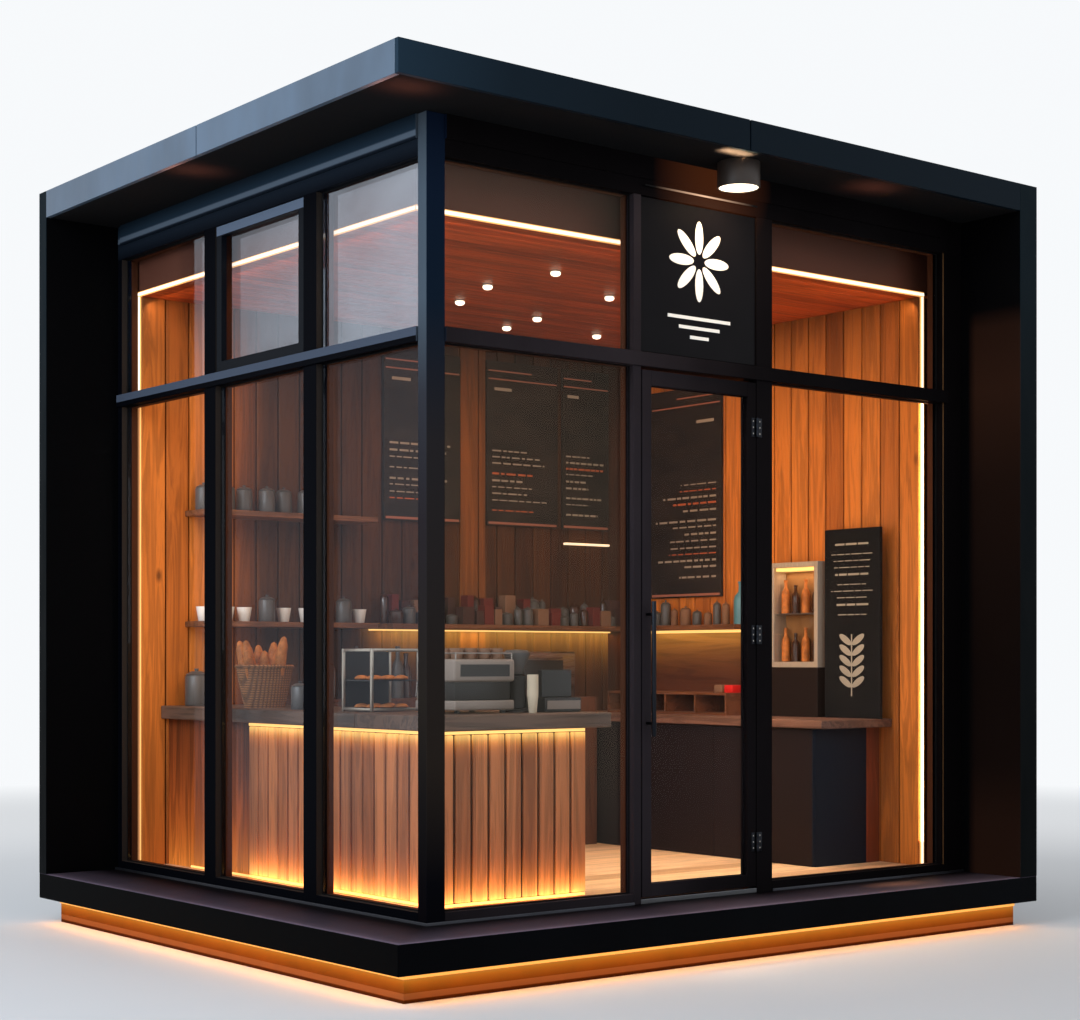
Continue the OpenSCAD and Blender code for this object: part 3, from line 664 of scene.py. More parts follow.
def frame_coating(name, shade, sky_lit_side_shade, inner_shade):
    """Powder-coated bars: dark outside and bronze behind the glass, with painted light and shade on them.

    On the side facade a paler blue-grey stands for the sky's light: painted light. The shades along a
    bar stand for what the street's light does to it, and so do the paler reveals, the highlight lines
    on the header and transom covers and the red glow near the soffit lamp."""
    g = Graph(name)
    left_panes, post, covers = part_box("left_panes"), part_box("corner_post"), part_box("transom_covers")
    side = g.times(g.before(0, left_panes[0].x), g.past(1, post[0].y + 0.002))
    inside = g.times(g.past(0, left_panes[1].x), g.past(1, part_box("front_panes")[1].y))
    cloud = g.cloud()
    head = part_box("left_header")[0].z
    above = g.past(2, head - HAIR)
    rise = g.way(2, CORNER.z, FACADE_H)
    dark = tone(4, 5, 9)
    # Painted light and shade on the front faces: paler clouds, lighter or darker along X, and darker on
    # the header.
    front_painted_light = g.varied(cloud, shade, 2.4, 3.8)
    along = g.ramp(g.way(0, CORNER.x, FACADE_W), (0.10, 0.55), (0.13, 0.6), (0.36, 1.0), (0.42, 1.0),
                   (0.5, 0.42), (0.58, 0.2), (1.0, 0.1))
    front_painted_light = g.shaded(front_painted_light, g.mix(above, along, (0.14, 0.14, 0.14)))
    # Painted light and shade on the side facade: dark caps, paler reveals and a dark band at the transom
    # covers.
    side_painted_light = g.mix(g.band(0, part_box("left_uprights")[0].x, 0.001), tone(42, 37, 34), dark)
    side_painted_light = g.mix(g.band(2, covers[0].z, 0.065), side_painted_light, dark)
    # Painted shade under the roof on the side header, with a painted highlight line along its lower edge.
    header_painted_light = g.ramp(
        g.way(2, head, 0.18), (0.0, tone(9, 12, 18)), (0.3, tone(22, 29, 38)),
        (0.46, tone(18, 25, 34)), (0.5, tone(88, 100, 114)), (0.6, tone(88, 100, 114)),
        (0.64, sky_lit_side_shade), (1.0, scaled(sky_lit_side_shade, 0.45)))
    side_painted_light = g.mix(above, side_painted_light, header_painted_light)
    # A painted highlight along the top of the transom covers.
    side_painted_light = g.mix(g.band(2, covers[1].z, -0.038), side_painted_light, tone(64, 71, 84))
    outer = g.mix(side, front_painted_light, side_painted_light)
    # Painted light and shade on the corner post, dark at the foot and paler higher up.
    post_side_painted_light = g.ramp(rise, (0.05, tone(8, 6, 9)), (0.15, tone(20, 17, 17)),
                       (0.28, tone(35, 30, 26)), (0.5, tone(36, 32, 35)),
                       (0.66, tone(44, 45, 51)), (0.78, tone(66, 76, 86)))
    outer = g.mix(g.times(side, g.before(1, post[1].y + HAIR)), outer, post_side_painted_light)
    post_front_painted_light = g.ramp(rise, (0.05, tone(8, 8, 13)), (0.2, tone(38, 32, 28)),
                        (0.6, tone(36, 34, 36)), (0.78, tone(14, 26, 40)), (1.0, tone(13, 24, 42)))
    before = g.times(g.maths("SUBTRACT", 1.0, side), g.before(0, post[1].x + HAIR))
    outer = g.mix(before, outer, post_front_painted_light)
    # A painted red glow of the soffit lamp's light on the frames near it.
    lamp = (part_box("soffit_lamp")[0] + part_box("soffit_lamp")[1]) / 2
    gap = g.vector("DISTANCE", g.place(), tuple(lamp))
    g.glow((1.0, 0.26, 0.08), g.ramp(gap, (0.16, 0.05), (0.42, 0.0)))
    g.peel()
    inner = g.varied(cloud, inner_shade, 0.85, 1.15)
    return g.set(Base_Color=g.mix(inside, outer, inner), Roughness=0.5, Specular_IOR_Level=0.01)


def wall_coating(node, shade, edge_shade, outer_shade, sheet_t):
    """Coated steel, near black beside the facades, paler on the edge and the outer sheets; on the edge a
    painted shade runs from dark at the foot to paler above.

    The right wall's inner face has a painted warm glow for the light that the room throws on it."""
    g = Graph(node)
    low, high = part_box(node)
    face = 0 if high.x - low.x < high.y - low.y else 1
    outer = g.past(face, high[face] - sheet_t - HAIR)
    edge = g.before(1 - face, low[1 - face] + 0.002)
    rise = g.way(2, CORNER.z, FACADE_H)
    # Painted shade on the front edge: dark at the foot, paler above.
    edge_painted_shade = g.ramp(rise, *((height, scaled(edge_shade, share)) for height, share in (
        (0.2, 0.25), (0.55, 0.5), (0.9, 1.4))))
    base = g.mix(outer, g.mix(edge, shade, edge_painted_shade), outer_shade)
    base = g.shaded(base, g.ramp(g.cloud(), (0.3, 0.75), (0.7, 1.0)))
    g.peel()
    # A painted warm glow of the room's light on the right wall's inner face.
    if face == 0:
        power = g.ramp(rise, (0.0, 0.010), (0.08, 0.009), (0.17, 0.0032), (0.31, 0.0028),
                       (0.46, 0.0045), (0.60, 0.007), (0.745, 0.017), (0.84, 0.012), (0.87, 0.0))
        power = g.times(power, g.before(0, low.x + 0.002))
        back = g.maths("SUBTRACT", g.axes[1], low.y)
        g.glow((1.0, 0.37, 0.19), g.times(power, g.ramp(back, (0.29, 1.0), (0.34, 0.0))))
    return g.set(Base_Color=base, Roughness=g.ramp(g.dust(), (0.3, 0.5), (0.8, 0.66)),
                 Specular_IOR_Level=0.03)


def front_edge_coating(name, shade):
    """The front roof edge, with painted light: paler beside the corner."""
    g = Graph(name)
    # Painted light: the edge is paler beside the corner.
    base = g.ramp(g.way(0, CORNER.x, FACADE_W), (0.0, scaled(shade, 3.4)), (0.14, scaled(shade, 1.5)),
                  (0.32, shade))
    g.peel()
    return g.set(Base_Color=base, Roughness=0.5, Specular_IOR_Level=0.04)


def sash_coating(name, shade, top_rail_highlight):
    """The opening light's bars, with a painted highlight along the top rail."""
    g = Graph(name)
    g.peel()
    # Painted highlight along the top rail.
    rail = g.past(2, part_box("vent_sash")[1].z - 0.046)
    return g.set(Base_Color=g.mix(rail, shade, top_rail_highlight), Roughness=0.45, Specular_IOR_Level=0.05)


def slab_coating(name, shade, top_shade):
    """Coated steel: on top a painted sheen, paler towards the front and left edges, under a noise of
    wear, and one painted warm glint, a reflection of a light strip; the left side has painted shade.
    """
    g = Graph(name)
    wear = g.noise(g.place((1, 1, 1)), 3.0, 5, 0.65)
    front = g.maths("SUBTRACT", g.axes[1], SLAB_LOW.y)
    left = g.maths("SUBTRACT", g.axes[0], SLAB_LOW.x)
    inward = g.maths("DIVIDE", g.maths("MINIMUM", front, left), 0.4, clamp=True)
    # Painted sheen: the top is paler towards the front and left edges.
    sheen_and_wear = g.ramp(inward, *((place, scaled(top_shade, share)) for place, share in (
        (0.02, 5.0), (0.08, 2.7), (0.2, 1.7), (0.45, 1.1), (0.65, 0.5), (0.84, 0.1))))
    sheen_and_wear = g.shaded(sheen_and_wear, g.ramp(wear, (0.3, 0.7), (0.7, 1.0)))
    # Painted shade: the slab's left side is darker.
    side = g.mix(g.maths("LESS_THAN", left, 0.002), g.varied(g.cloud(), shade, 1.0, 1.6),
                 scaled(shade, 0.3))
    upper = g.past(2, SLAB_HIGH.z - 0.0015)
    g.peel()
    # A painted warm glint: a reflection of a light strip on the top.
    gap = g.vector("LENGTH", g.place((1, 2.2, 0), tuple(-at(3.13, 0.2, 0))))
    g.glow((1.0, 0.40, 0.2), g.times(upper, g.ramp(gap, (0.0, 0.11), (0.24, 0.0))))
    return g.set(Base_Color=g.mix(upper, side, sheen_and_wear), Roughness=0.55, Specular_IOR_Level=0.02)


def concrete(name, shade, glow):
    """Cast concrete with clouds and small pores, with a painted glow of the strip along its top and
    painted shade at its foot.
    """
    g = Graph(name)
    low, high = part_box("base_plinth")
    # The painted glow of the strip's light, strongest at the top.
    gap = g.maths("DIVIDE", g.maths("SUBTRACT", high.z, g.axes[2]), 0.13, clamp=True)
    near = g.maths("POWER", g.maths("SUBTRACT", 1.0, gap), 2.0)
    g.glow(g.ramp(near, (0.0, scaled(glow, 0.5)), (0.5, glow), (1.0, (1.0, 0.58, 0.16))),
           g.times(near, 0.75))
    base = g.varied(g.noise(g.place(), 5.0, 6, 0.62), shade, 0.78, 1.2)
    # A paler band low down, and below it a darker foot: painted shade where the plinth meets the ground.
    base = g.mix(g.band(2, low.z + 0.016, 0.024), base, tone(136, 80, 44))
    base = g.mix(g.band(2, low.z, 0.012), base, scaled(shade, 0.4))
    pores = g.noise(g.place(), 160, 3)
    g.bump(g.ramp(pores, (0.3, 0.0), (0.42, 1.0)), 0.3, 0.001)
    return g.set(Base_Color=base, Roughness=0.85, Specular_IOR_Level=0.05)


def membrane(name, shade, soffit):
    """Roof felt above, in strips with a lapped joint between them, and a painted soffit."""
    g = Graph(name)
    low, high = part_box("roof_deck")
    joint = g.ramp(g.maths("PINGPONG", g.axes[1], 0.5), (0.0, 1.0), (0.03, 0.0))
    base = g.varied(g.noise(g.place(), 2.0, 5), shade, 0.8, 1.25)
    base = g.mix(joint, base, scaled(shade, 0.6))
    base = g.mix(g.before(2, (low.z + high.z) / 2), base, soffit)
    g.bump(g.maths("ADD", g.times(g.noise(g.place(), 300, 3), 0.3), joint), 0.2, 0.002)
    return g.set(Base_Color=base, Roughness=0.9, Specular_IOR_Level=0.1)


def wicker(name, shade):
    """Woven cane."""
    g = Graph(name)
    turns, canes = (
        g.add("ShaderNodeTexWave", {"Vector": g.place(), "Scale": scale, "Distortion": bend},
              bands_direction=axis).outputs[1]
        for scale, bend, axis in ((26.0, 1.2, "Z"), (18.0, 1.0, "X"))
    )
    weave = g.times(turns, canes)
    g.bump(weave, 0.8, 0.003)
    return g.set(Base_Color=g.ramp(weave, (0.0, scaled(shade, 0.35)), (0.6, shade)), Roughness=0.7)


FINISHES = {
    "frames": (frame_coating, "metal.frames", "metal.left_frames", "metal.bronze"),
    "right_wall": (wall_coating, "metal.walls", "metal.wall_edge", "metal.outer_walls",
                   "metal.sheet_t"),
    "back_wall": (wall_coating, "metal.walls", "metal.wall_edge", "metal.outer_walls",
                  "metal.sheet_t"),
    "slab": (slab_coating, tone(3, 4, 6), "metal.slab_top"),
    "edges": (front_edge_coating, "metal.edges"),
    # The left roof edge: the front edge's paint, paler and bluer as painted sky light.
    "left_edges": (coated_steel, "metal.left_edges", 0.35, 0.4),
    "sash": (sash_coating, "metal.sash", tone(84, 95, 112)),
    "ironmongery": (brushed_steel, tone(38, 40, 45), 2, 0.34),
    "threshold": (brushed_steel, tone(120, 122, 126), 0, 0.3),
    "roof_felt": (membrane, tone(70, 72, 76), tone(11, 11, 13)),
    # The plinth's deep orange is painted amber light of the strip on it, over the concrete's own tone.
    "concrete": (concrete, tone(104, 46, 6), (1.0, 0.34, 0.03)),
    "bulkhead": (painted, tone(86, 50, 38), 0.6, 0.15, 0.05, 1.5),
    "lit_lip": (lit_metal, tone(12, 11, 12), (1.0, 0.60, 0.38), 0.32),
    # A brass-coloured bar that stands for the highlight on the jamb's edge.
    "brass": (brushed_steel, tone(150, 112, 72), 2, 0.4),
    "front_glass": (clear_glass, (0.86, 0.80, 0.64), 0.011, 0.002),
    "side_glass": (sky_glass, (0.66, 0.73, 0.84), 0.02, 0.37),
    "door_glass": (clear_glass, (0.80, 0.86, 0.92), 0.003),
    "case_glass": (clear_glass, (0.9, 0.86, 0.8), 0.03),
    "cream_light": (room_light, "glow.cream", "glow.strip", (0.50, 0.20, 0.085)),
    "amber_light": (light_face, "glow.amber", "glow.foot"),
    "pale_lip": (light_face, (1.0, 0.78, 0.52), 0.9),
    # The channels round the light strips glow with a painted warm light.
    "warm_lip": (light_face, (1.0, 0.52, 0.16), 0.75),
    "warm_strip": (light_face, (1.0, 0.60, 0.18), 1.1),
    "lens": (light_face, (1.0, 0.84, 0.62), "glow.lens"),
    "navy": (navy_and_brown,),
    "case_body": (case_finish,),
    "slate": (slate, tone(38, 31, 27)),
    "black_slate": (slate, tone(15, 13, 13)),
    "case_metal": (brushed_steel, tone(196, 188, 176), 2, 0.34),
    "steel": (brushed_steel, tone(176, 170, 164), 0, 0.26),
    "flashing": (brushed_steel, tone(96, 98, 106), 0, 0.35),
    "cane": (wicker, tone(170, 112, 66)),
    "sign": (painted, tone(11, 10, 13), 0.4, 0.06),
    "white_film": (painted, tone(238, 238, 234), 0.5, 0.3, 0.03),
    "lamp": (painted, tone(46, 38, 34), 0.45, 0.4),
    "board_shadow": (painted, tone(52, 26, 14), 0.8, 0.2),
    "counter_core": (painted, tone(44, 22, 12), 0.7, 0.2),
    "chalk": (painted, tone(150, 136, 122), 0.9, 0.1),
    "rose_chalk": (painted, tone(170, 92, 60), 0.9, 0.1),
    "poster_film": (painted, tone(150, 143, 132), 0.6, 0.2),
    "blue_tin": (painted, tone(78, 122, 136), 0.3, 0.4),
    "red_tin": (painted, tone(196, 30, 26), 0.4, 0.3),
    "machine_body": (painted, tone(136, 122, 112), 0.35, 0.4, 0.06),
    "board_rail": (painted, tone(150, 96, 78), 0.6, 0.2),
    "rubber": (painted, tone(10, 10, 11), 0.7, 0.1),
    "black_plastic": (painted, tone(24, 23, 24), 0.4, 0.5),
    "tan_china": (painted, tone(140, 104, 82), 0.3, 0.4, 0.06),
    "china": (painted, tone(236, 232, 226), 0.2, 0.6, 0.03),
    "card": (painted, tone(120, 88, 68), 0.8, 0.2),
    "cream_card": (painted, tone(214, 196, 170), 0.75, 0.2),
    "gold_card": (painted, tone(128, 92, 56), 0.6, 0.2),
    "red_card": (painted, tone(96, 38, 32), 0.6, 0.2),
    "dark_card": (painted, tone(66, 42, 38), 0.7, 0.2),
    "crust": (painted, tone(176, 104, 48), 0.6, 0.3, 0.4, 30.0),
    "bottle": (painted, tone(58, 34, 20), 0.12, 0.6),
    "stone_jar": (painted, tone(78, 74, 72), 0.35, 0.4),
}
_made_finishes = {}


def group(name):
    """One of the groups of sizes and colours in the sidebar."""
    return getattr(bpy.context.scene, "kiosk_" + name)


def held(value):
    """A value, read from the sidebar where it is given as group.property."""
    if not isinstance(value, str):
        return value
    folder, key = value.split(".")
    found = getattr(group(folder), key)
    return found if isinstance(found, float) else found[:]


def finish(name):
    """The finish of that name, made once."""
    if name not in _made_finishes:
        maker, *values = FINISHES[name]
        _made_finishes[name] = maker(name, *(held(value) for value in values))
    return _made_finishes[name]


class KIOSK_OT_metalwork(bpy.types.Operator):
    """Eases the edges of the frames, bars, slab and roof parts and coats them"""
    bl_idname = "kiosk.metalwork"
    bl_label = "Frames and slab"

    def execute(self, context):
        easing = group("metal").easing
        for node in (
            "corner_post", "front_uprights", "left_uprights", "front_jamb", "left_jamb",
            "front_header", "left_header", "front_transoms", "left_transoms",
            "transom_covers", "front_sills", "left_sills",
        ):
            eased_node(node, "frames", easing)
        eased_node("floor_slab", "slab", 0.004)
        eased_node("vent_sash", "sash", easing)
        eased_node("door_threshold", "threshold", easing)
        paint("base_plinth", "concrete")
        paint("roof_deck", "roof_felt")
        self.flashing()
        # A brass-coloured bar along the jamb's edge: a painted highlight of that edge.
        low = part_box("front_jamb")[0]
        bar("jamb_trim", (low.x + 0.012, low.y - 0.0012, low.z + 0.05),
            (low.x + 0.019, low.y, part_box("front_header")[0].z), "brass", 0.0005)
        return {"FINISHED"}

    def flashing(self):
        """Slim angles on the slab along the foot of the frames, left out at the doorway."""
        post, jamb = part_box("corner_post")[0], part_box("left_jamb")[1]
        sills = parts_of("front_sills")
        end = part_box("front_jamb")[1].x
        out, gap, foot, head = 0.008, HAIR, post.z, post.z + 0.012
        bm = bmesh.new()
        for start, stop in ((post.x - out, sills[0][1].x), (sills[1][0].x, end)):
            block(bm, (start, post.y - out, foot), (stop, post.y - gap, head), 0, 0.001)
        block(bm, (post.x - out, post.y, foot), (post.x - gap, jamb.y, head), 0, 0.001)
        made_object(bm, "sill_flashing", ["flashing"])


class KIOSK_OT_cladding(bpy.types.Operator):
    """Builds the solid walls and the roof edges from sheets with open joints"""
    bl_idname = "kiosk.cladding"
    bl_label = "Wall and roof sheets"

    def execute(self, context):
        metal = group("metal")
        self.wall("right_wall", 0, metal)
        self.wall("back_wall", 1, metal)
        self.fascia("front_fascia", 0, metal, "edges")
        self.fascia("left_fascia", 1, metal, "left_edges")
        return {"FINISHED"}

    def wall(self, node, face, metal):
        """A core with sheets on its outer face, which looks along +X or +Y."""
        low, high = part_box(node)
        run, core = 1 - face, high[face] - metal.sheet_t
        bm = bmesh.new()
        block(bm, *within(low, high, {face: (low[face], core)}), 0, metal.easing)
        count = count_of(high[run] - low[run], metal.sheet_w)
        for ends in divided(low[run], high[run], count, metal.sheet_gap):
            block(bm, *within(low, high, {face: (core, high[face]), run: ends}), 0,
                  metal.sheet_t / 3)
        made_object(bm, node + "_sheets", [node], replaces=[node])

    def fascia(self, node, run, metal, name):
        """Edge sheets in two lengths, with a cover behind their joint."""
        low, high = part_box(node)
        sheets = divided(low[run], high[run], 2, metal.sheet_gap)
        bm = bmesh.new()
        for ends in sheets:
            block(bm, *within(low, high, {run: ends}), 0, metal.easing)
        block(bm, *within(low, high, {
            run: (sheets[0][1], sheets[1][0]), 1 - run: (low[1 - run] + 0.008, high[1 - run]),
            2: (low.z + 0.001, high.z - 0.001)}))
        made_object(bm, node + "_sheets", [name], replaces=[node])


class KIOSK_OT_glazing(bpy.types.Operator):
    """Gives the panes their clear glass"""
    bl_idname = "kiosk.glazing"
    bl_label = "Glass"

    def execute(self, context):
        for node, glass in (("front_panes", "front_glass"), ("left_panes", "side_glass"),
                            ("door_glass", "door_glass"), ("display_glass", "case_glass")):
            paint(node, glass)
        self.gaskets("front_panes", 1)
        self.gaskets("left_panes", 0)
        return {"FINISHED"}

    def gaskets(self, node, face):
        """Rubber strips round each pane, before the glass."""
        run, side, foot, width, depth = 1 - face, 0.009, 0.012, 0.006, 0.005
        bm = bmesh.new()
        for low, high in parts_of(node):
            left, right = low[run] + side, high[run] - side
            sill, head = low.z + foot, high.z - side
            before = (low[face] - depth, low[face] - 0.0002)
            for across, up in (
                ((left, left + width), (sill, head)),
                ((right - width, right), (sill, head)),
                ((left + width, right - width), (sill, sill + width)),
                ((left + width, right - width), (head - width, head)),
            ):
                block(bm, *within(low, high, {face: before, run: across, 2: up}), 0, 0.0012)
        made_object(bm, node + "_gaskets", ["rubber"])


class KIOSK_OT_door(bpy.types.Operator):
    """Finishes the door leaf with its rails, pulls and hinges"""
    bl_idname = "kiosk.door"
    bl_label = "Door"

    def execute(self, context):
        metal = group("metal")
        for node in ("door_lock_stile", "door_hinge_stile", "door_top_rail", "door_bottom_rail"):
            eased_node(node, "frames", metal.easing, "door")
        fine = metal.fine_easing
        for node, body, easing in (("door_pulls", "door", fine), ("door_hinges", "door", fine / 4),
                                   ("frame_hinges", "kiosk", fine / 4)):
            eased_node(node, "ironmongery", easing, body, 60, 40)
        self.screws("door_hinges", "door", 0.013)
        self.screws("frame_hinges", "kiosk", -0.013)
        return {"FINISHED"}

    def screws(self, node, body, inset):
        """Three countersunk screws with a slot in each hinge plate."""
        bm = bmesh.new()
        for low, high in parts_of(node):
            x = (low.x if inset > 0 else high.x) + inset
            y = high.y - 0.003
            for share in (0.17, 0.5, 0.83):
                z = low.z + (high.z - low.z) * share
                head = turned([(0, 0), (0.0042, 0), (0.0034, 0.0007), (0, 0.0009)], 18)
                join(bm, head, Matrix.Translation((x, y, z)) @ Matrix.Rotation(QUARTER, 4, "X"))
                block(bm, (x - 0.003, y - 0.0011, z - 0.0005), (x + 0.003, y - 0.0009, z + 0.0005),
                      1)
        made_object(bm, node + "_screws", ["steel", "black_plastic"], body, smooth=40)


class KIOSK_OT_sign(bpy.types.Operator):
    """Finishes the sign tray over the door and its plain rosette"""
    bl_idname = "kiosk.sign"
    bl_label = "Sign"

    def execute(self, context):
        low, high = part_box("sign_panel")
        eased_node("sign_panel", "sign", 0.002)
        self.rosette(Vector(((low.x + high.x) / 2, low.y, (low.z + high.z) / 2)))
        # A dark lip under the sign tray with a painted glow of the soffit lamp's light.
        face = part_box("front_header")[0].y
        bar("sign_lip", (low.x + 0.02, face - 0.005, high.z + 0.032),
            (high.x - 0.02, face, high.z + 0.04), "lit_lip", 0.0015)
        return {"FINISHED"}

    def rosette(self, centre):
        """A ring of leaves and three plain bars, in white film on the face."""
        bm = bmesh.new()
        leaves, film = 8, 0.002
        for i in range(leaves):
            join(bm, leaf(0.026, film, 20, 3.0, 0.112, math.tau * i / leaves),
                 centre + Vector((0, 0, 0.10)))
        for drop, half in ((0.17, 0.20), (0.215, 0.13), (0.26, 0.06)):
            block(bm, centre + Vector((-half, -film, -drop - 0.008)),
                  centre + Vector((half, 0, -drop + 0.008)), 0, film / 4)
        made_object(bm, "sign_rosette", ["white_film"])


class KIOSK_OT_lights(bpy.types.Operator):
    """Finishes the light strips, the ceiling lights and the soffit lamp"""
    bl_idname = "kiosk.lights"
    bl_label = "Lights"

    def execute(self, context):
        self.profiles()
        paint("base_lights", "amber_light")
        paint("furniture_lights", "warm_strip")
        paint("lamp_lens", "lens")
        eased_node("soffit_lamp", "lamp", 0.003, smooth=40)
        foot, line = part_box("side_counter")[0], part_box("counter_boards")[1].y
        bar("side_foot_light", (foot.x - 0.012, line + 0.002, foot.z + 0.004),
            (foot.x - 0.002, line + 0.62, foot.z + 0.014), "warm_strip", 0.001)
        self.downlights()
        return {"FINISHED"}

    def profiles(self):
        """The strips round the mouth: a channel that glows with a painted warm light, and a slim bright
        diffuser.
        """
        low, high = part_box("room_lights")
        wide, deep, lip = 0.026, 0.008, 0.0055
        head, front = high.z - wide, low.y + deep
        channel, core = bmesh.new(), bmesh.new()
        for start, end, across, thin in (
            ((low.x, low.y, head), (high.x, front, high.z), 2, 1),
            ((low.x, front, head), (low.x + deep, high.y, high.z), 2, 0),
            ((high.x - wide, low.y, low.z), (high.x, front, head), 0, 1),
            ((low.x, high.y - wide, low.z), (low.x + deep, high.y, head), 1, 0),
        ):
            block(channel, *within(start, end, {thin: (start[thin] + 0.0015, end[thin])}), 0,
                  0.0008)
            block(core, *within(start, end, {
                thin: (start[thin], start[thin] + 0.0014),
                across: (start[across] + lip, end[across] - lip)}))
        for bm, name, chosen in ((channel, "light_channels", "warm_lip"),
                                 (core, "light_diffusers", "cream_light")):
            made_object(bm, name, [chosen], replaces=["room_lights"])

    def downlights(self):
        """A rolled rim round each flat globe, at the place of each ceiling light."""
        rims, lenses = bmesh.new(), bmesh.new()
        for low, high in parts_of("downlights"):
            r, h = (high.x - low.x) / 2, high.z - low.z
            spot = Vector(((low.x + high.x) / 2, (low.y + high.y) / 2, low.z))
            rim = [(0.86, 1), (0.86, 0.8), (0.9, 0.74), (0.96, 0.76), (1, 0.86), (1, 1), (0.86, 1)]
            join(rims, turned([(r * out, h * up) for out, up in rim], 32), spot)
            steps = 14
            globe = [(0, h)]
            for angle in (math.pi * i / steps for i in range(1, steps)):
                globe.append((r * 0.855 * math.sin(angle), h * (1 + math.cos(angle)) / 2))
            join(lenses, turned(globe + [(0, 0)], 32), spot)
        for bm, name, chosen in ((rims, "downlight_rims", "case_metal"),
                                 (lenses, "downlight_lenses", "lens")):
            made_object(bm, name, [chosen], replaces=["downlights"], smooth=40)


class KIOSK_OT_planks(bpy.types.Operator):
    """Lines the end wall and the back wall with upright planks"""
    bl_idname = "kiosk.planks"
    bl_label = "Wall planks"

    def execute(self, context):
        boards = group("boards")
        hung = parts_of("menu_boards")
        bay, last = (hung[0][1].x, hung[1][0].x), hung[-1][1].y
        # Painted shade on the wall planks: darker towards the ceiling, and darker bands past the last
        # menu board and along the back wall.
        shade = (2, ((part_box("front_transoms")[0].z - 0.1, 1.0), (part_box("ceiling")[0].z, 0.42)))
        dark = 0.13
        end_painted_shade = (1, ((last + 0.01, 1.0), (last + 0.04, dark)))
        back_painted_shade = (0, (
            (at(0.95, 0, 0).x, 1.0), (at(1.25, 0, 0).x, dark), (bay[0], dark),
            (bay[0] + 0.004, 0.4), (bay[1], 0.4), (bay[1] + 0.004, dark)))
        # A painted glow of the shelf strip's light on the back wall below it.
        painted_shelf_glow = (2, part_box("furniture_lights")[1].z, -0.42, 0.4,
                      0, parts_of("wall_shelves")[-1][0].x - 0.08)
        for node, across, face, glows, stain in (
            ("end_wall_lining", 1, (0, -1), (), end_painted_shade),
            ("back_wall_lining", 0, (1, -1), (painted_shelf_glow,), back_painted_shade),
        ):
            boarded(node, node + "_planks", "wall_timber", across, face, boards.plank_w,
                    boards.joint, boards.plank_t, boards.easing, boards.walls, 2, roughness=0.6,
                    contrast=0.42, knots=True, glows=glows, stains=(shade, stain),
                    glow_shades=GOLD)
        return {"FINISHED"}


class KIOSK_OT_ceiling(bpy.types.Operator):
    """Boards the ceiling and finishes the panels over the mouth of the room"""
    bl_idname = "kiosk.ceiling"
    bl_label = "Ceiling"

    def execute(self, context):
        boards = group("boards")
        boarded("ceiling", "ceiling_boards", "ceiling_timber", 1, (2, -1), boards.ceiling_w,
                boards.ceiling_joint, boards.ceiling_t, boards.easing / 2, boards.ceiling, 0)
        for node in ("front_bulkhead", "left_bulkhead"):
            eased_node(node, "bulkhead", 0.001)
        return {"FINISHED"}


class KIOSK_OT_floor(bpy.types.Operator):
    """Lays the floor boards of the room"""
    bl_idname = "kiosk.floor"
    bl_label = "Floor boards"

    def execute(self, context):
        boards = group("boards")
        boarded("room_floor", "floor_boards", "floor_timber", 1, (2, 1), boards.floor_w,
                boards.floor_joint, boards.floor_t, boards.floor_joint / 2, boards.floor, 0,
                roughness=0.45, contrast=0.3)
        return {"FINISHED"}


class KIOSK_OT_counter(bpy.types.Operator):
    """Finishes the corner counter: its boards, cores and tops"""
    bl_idname = "kiosk.counter"
    bl_label = "Corner counter"

    def execute(self, context):
        boards = group("boards")
        self.board_row("front", 0, boards)
        self.board_row("side", 1, boards)
        eased_node("front_counter", "counter_core", 0.002)
        foot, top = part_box("side_counter")[0].z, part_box("side_counter")[1].z
        # Painted glow of the foot strip's light on the side counter, and painted shade towards its top.
        wood = timber("side_counter_timber", tone(156, 74, 28), 2, 1, 0.14, contrast=0.9,
                      glows=((2, foot, 0.8, 0.5),),
                      stains=((2, ((foot + 0.35, 1.0), (top, 0.4))),),
                      glow_shades=((0.0, (1.0, 0.2, 0.02)), (0.6, (1.0, 0.36, 0.05))))
        eased_node("side_counter", wood, 0.002)
        for node, along in (("front_worktop", 0), ("side_worktop", 1)):
            wood = timber(node + "_timber", boards.worktop, along, roughness=0.4, contrast=0.7)
            eased_node(node, wood, 0.006)
        return {"FINISHED"}

    def board_row(self, name, across, boards):
        """The boards of one leg, each a crowned plank at the place of its CAD board."""
        row = [
            (low, high) for low, high in parts_of("counter_boards")
            if high[across] - low[across] > high[1 - across] - low[1 - across]
        ]
        low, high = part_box("counter_boards")
        glow = group("glow")
        # Painted glows of the strips' light at the foot and the head of the counter boards.
        glows = ((2, low.z, glow.reach, 0.85), (2, high.z, -glow.head_reach, 1.1))
        start, pitch = row[0][0][across], row[1][0][across] - row[0][0][across]
        bm = bmesh.new()
        for low, high in row:
            ends = (low[across] + boards.open_joint, high[across] - boards.open_joint)
            block(bm, *within(low, high, {across: ends}), 0, boards.easing * 1.6, 3)
        wood = timber(name + "_board_timber", boards.counter, 2, across, pitch,
                      start + boards.open_joint - boards.joint / 2, 0.55, 0.4, glows=glows)
        made_object(bm, name + "_counter_boards", [wood],
                    replaces=["counter_boards"])


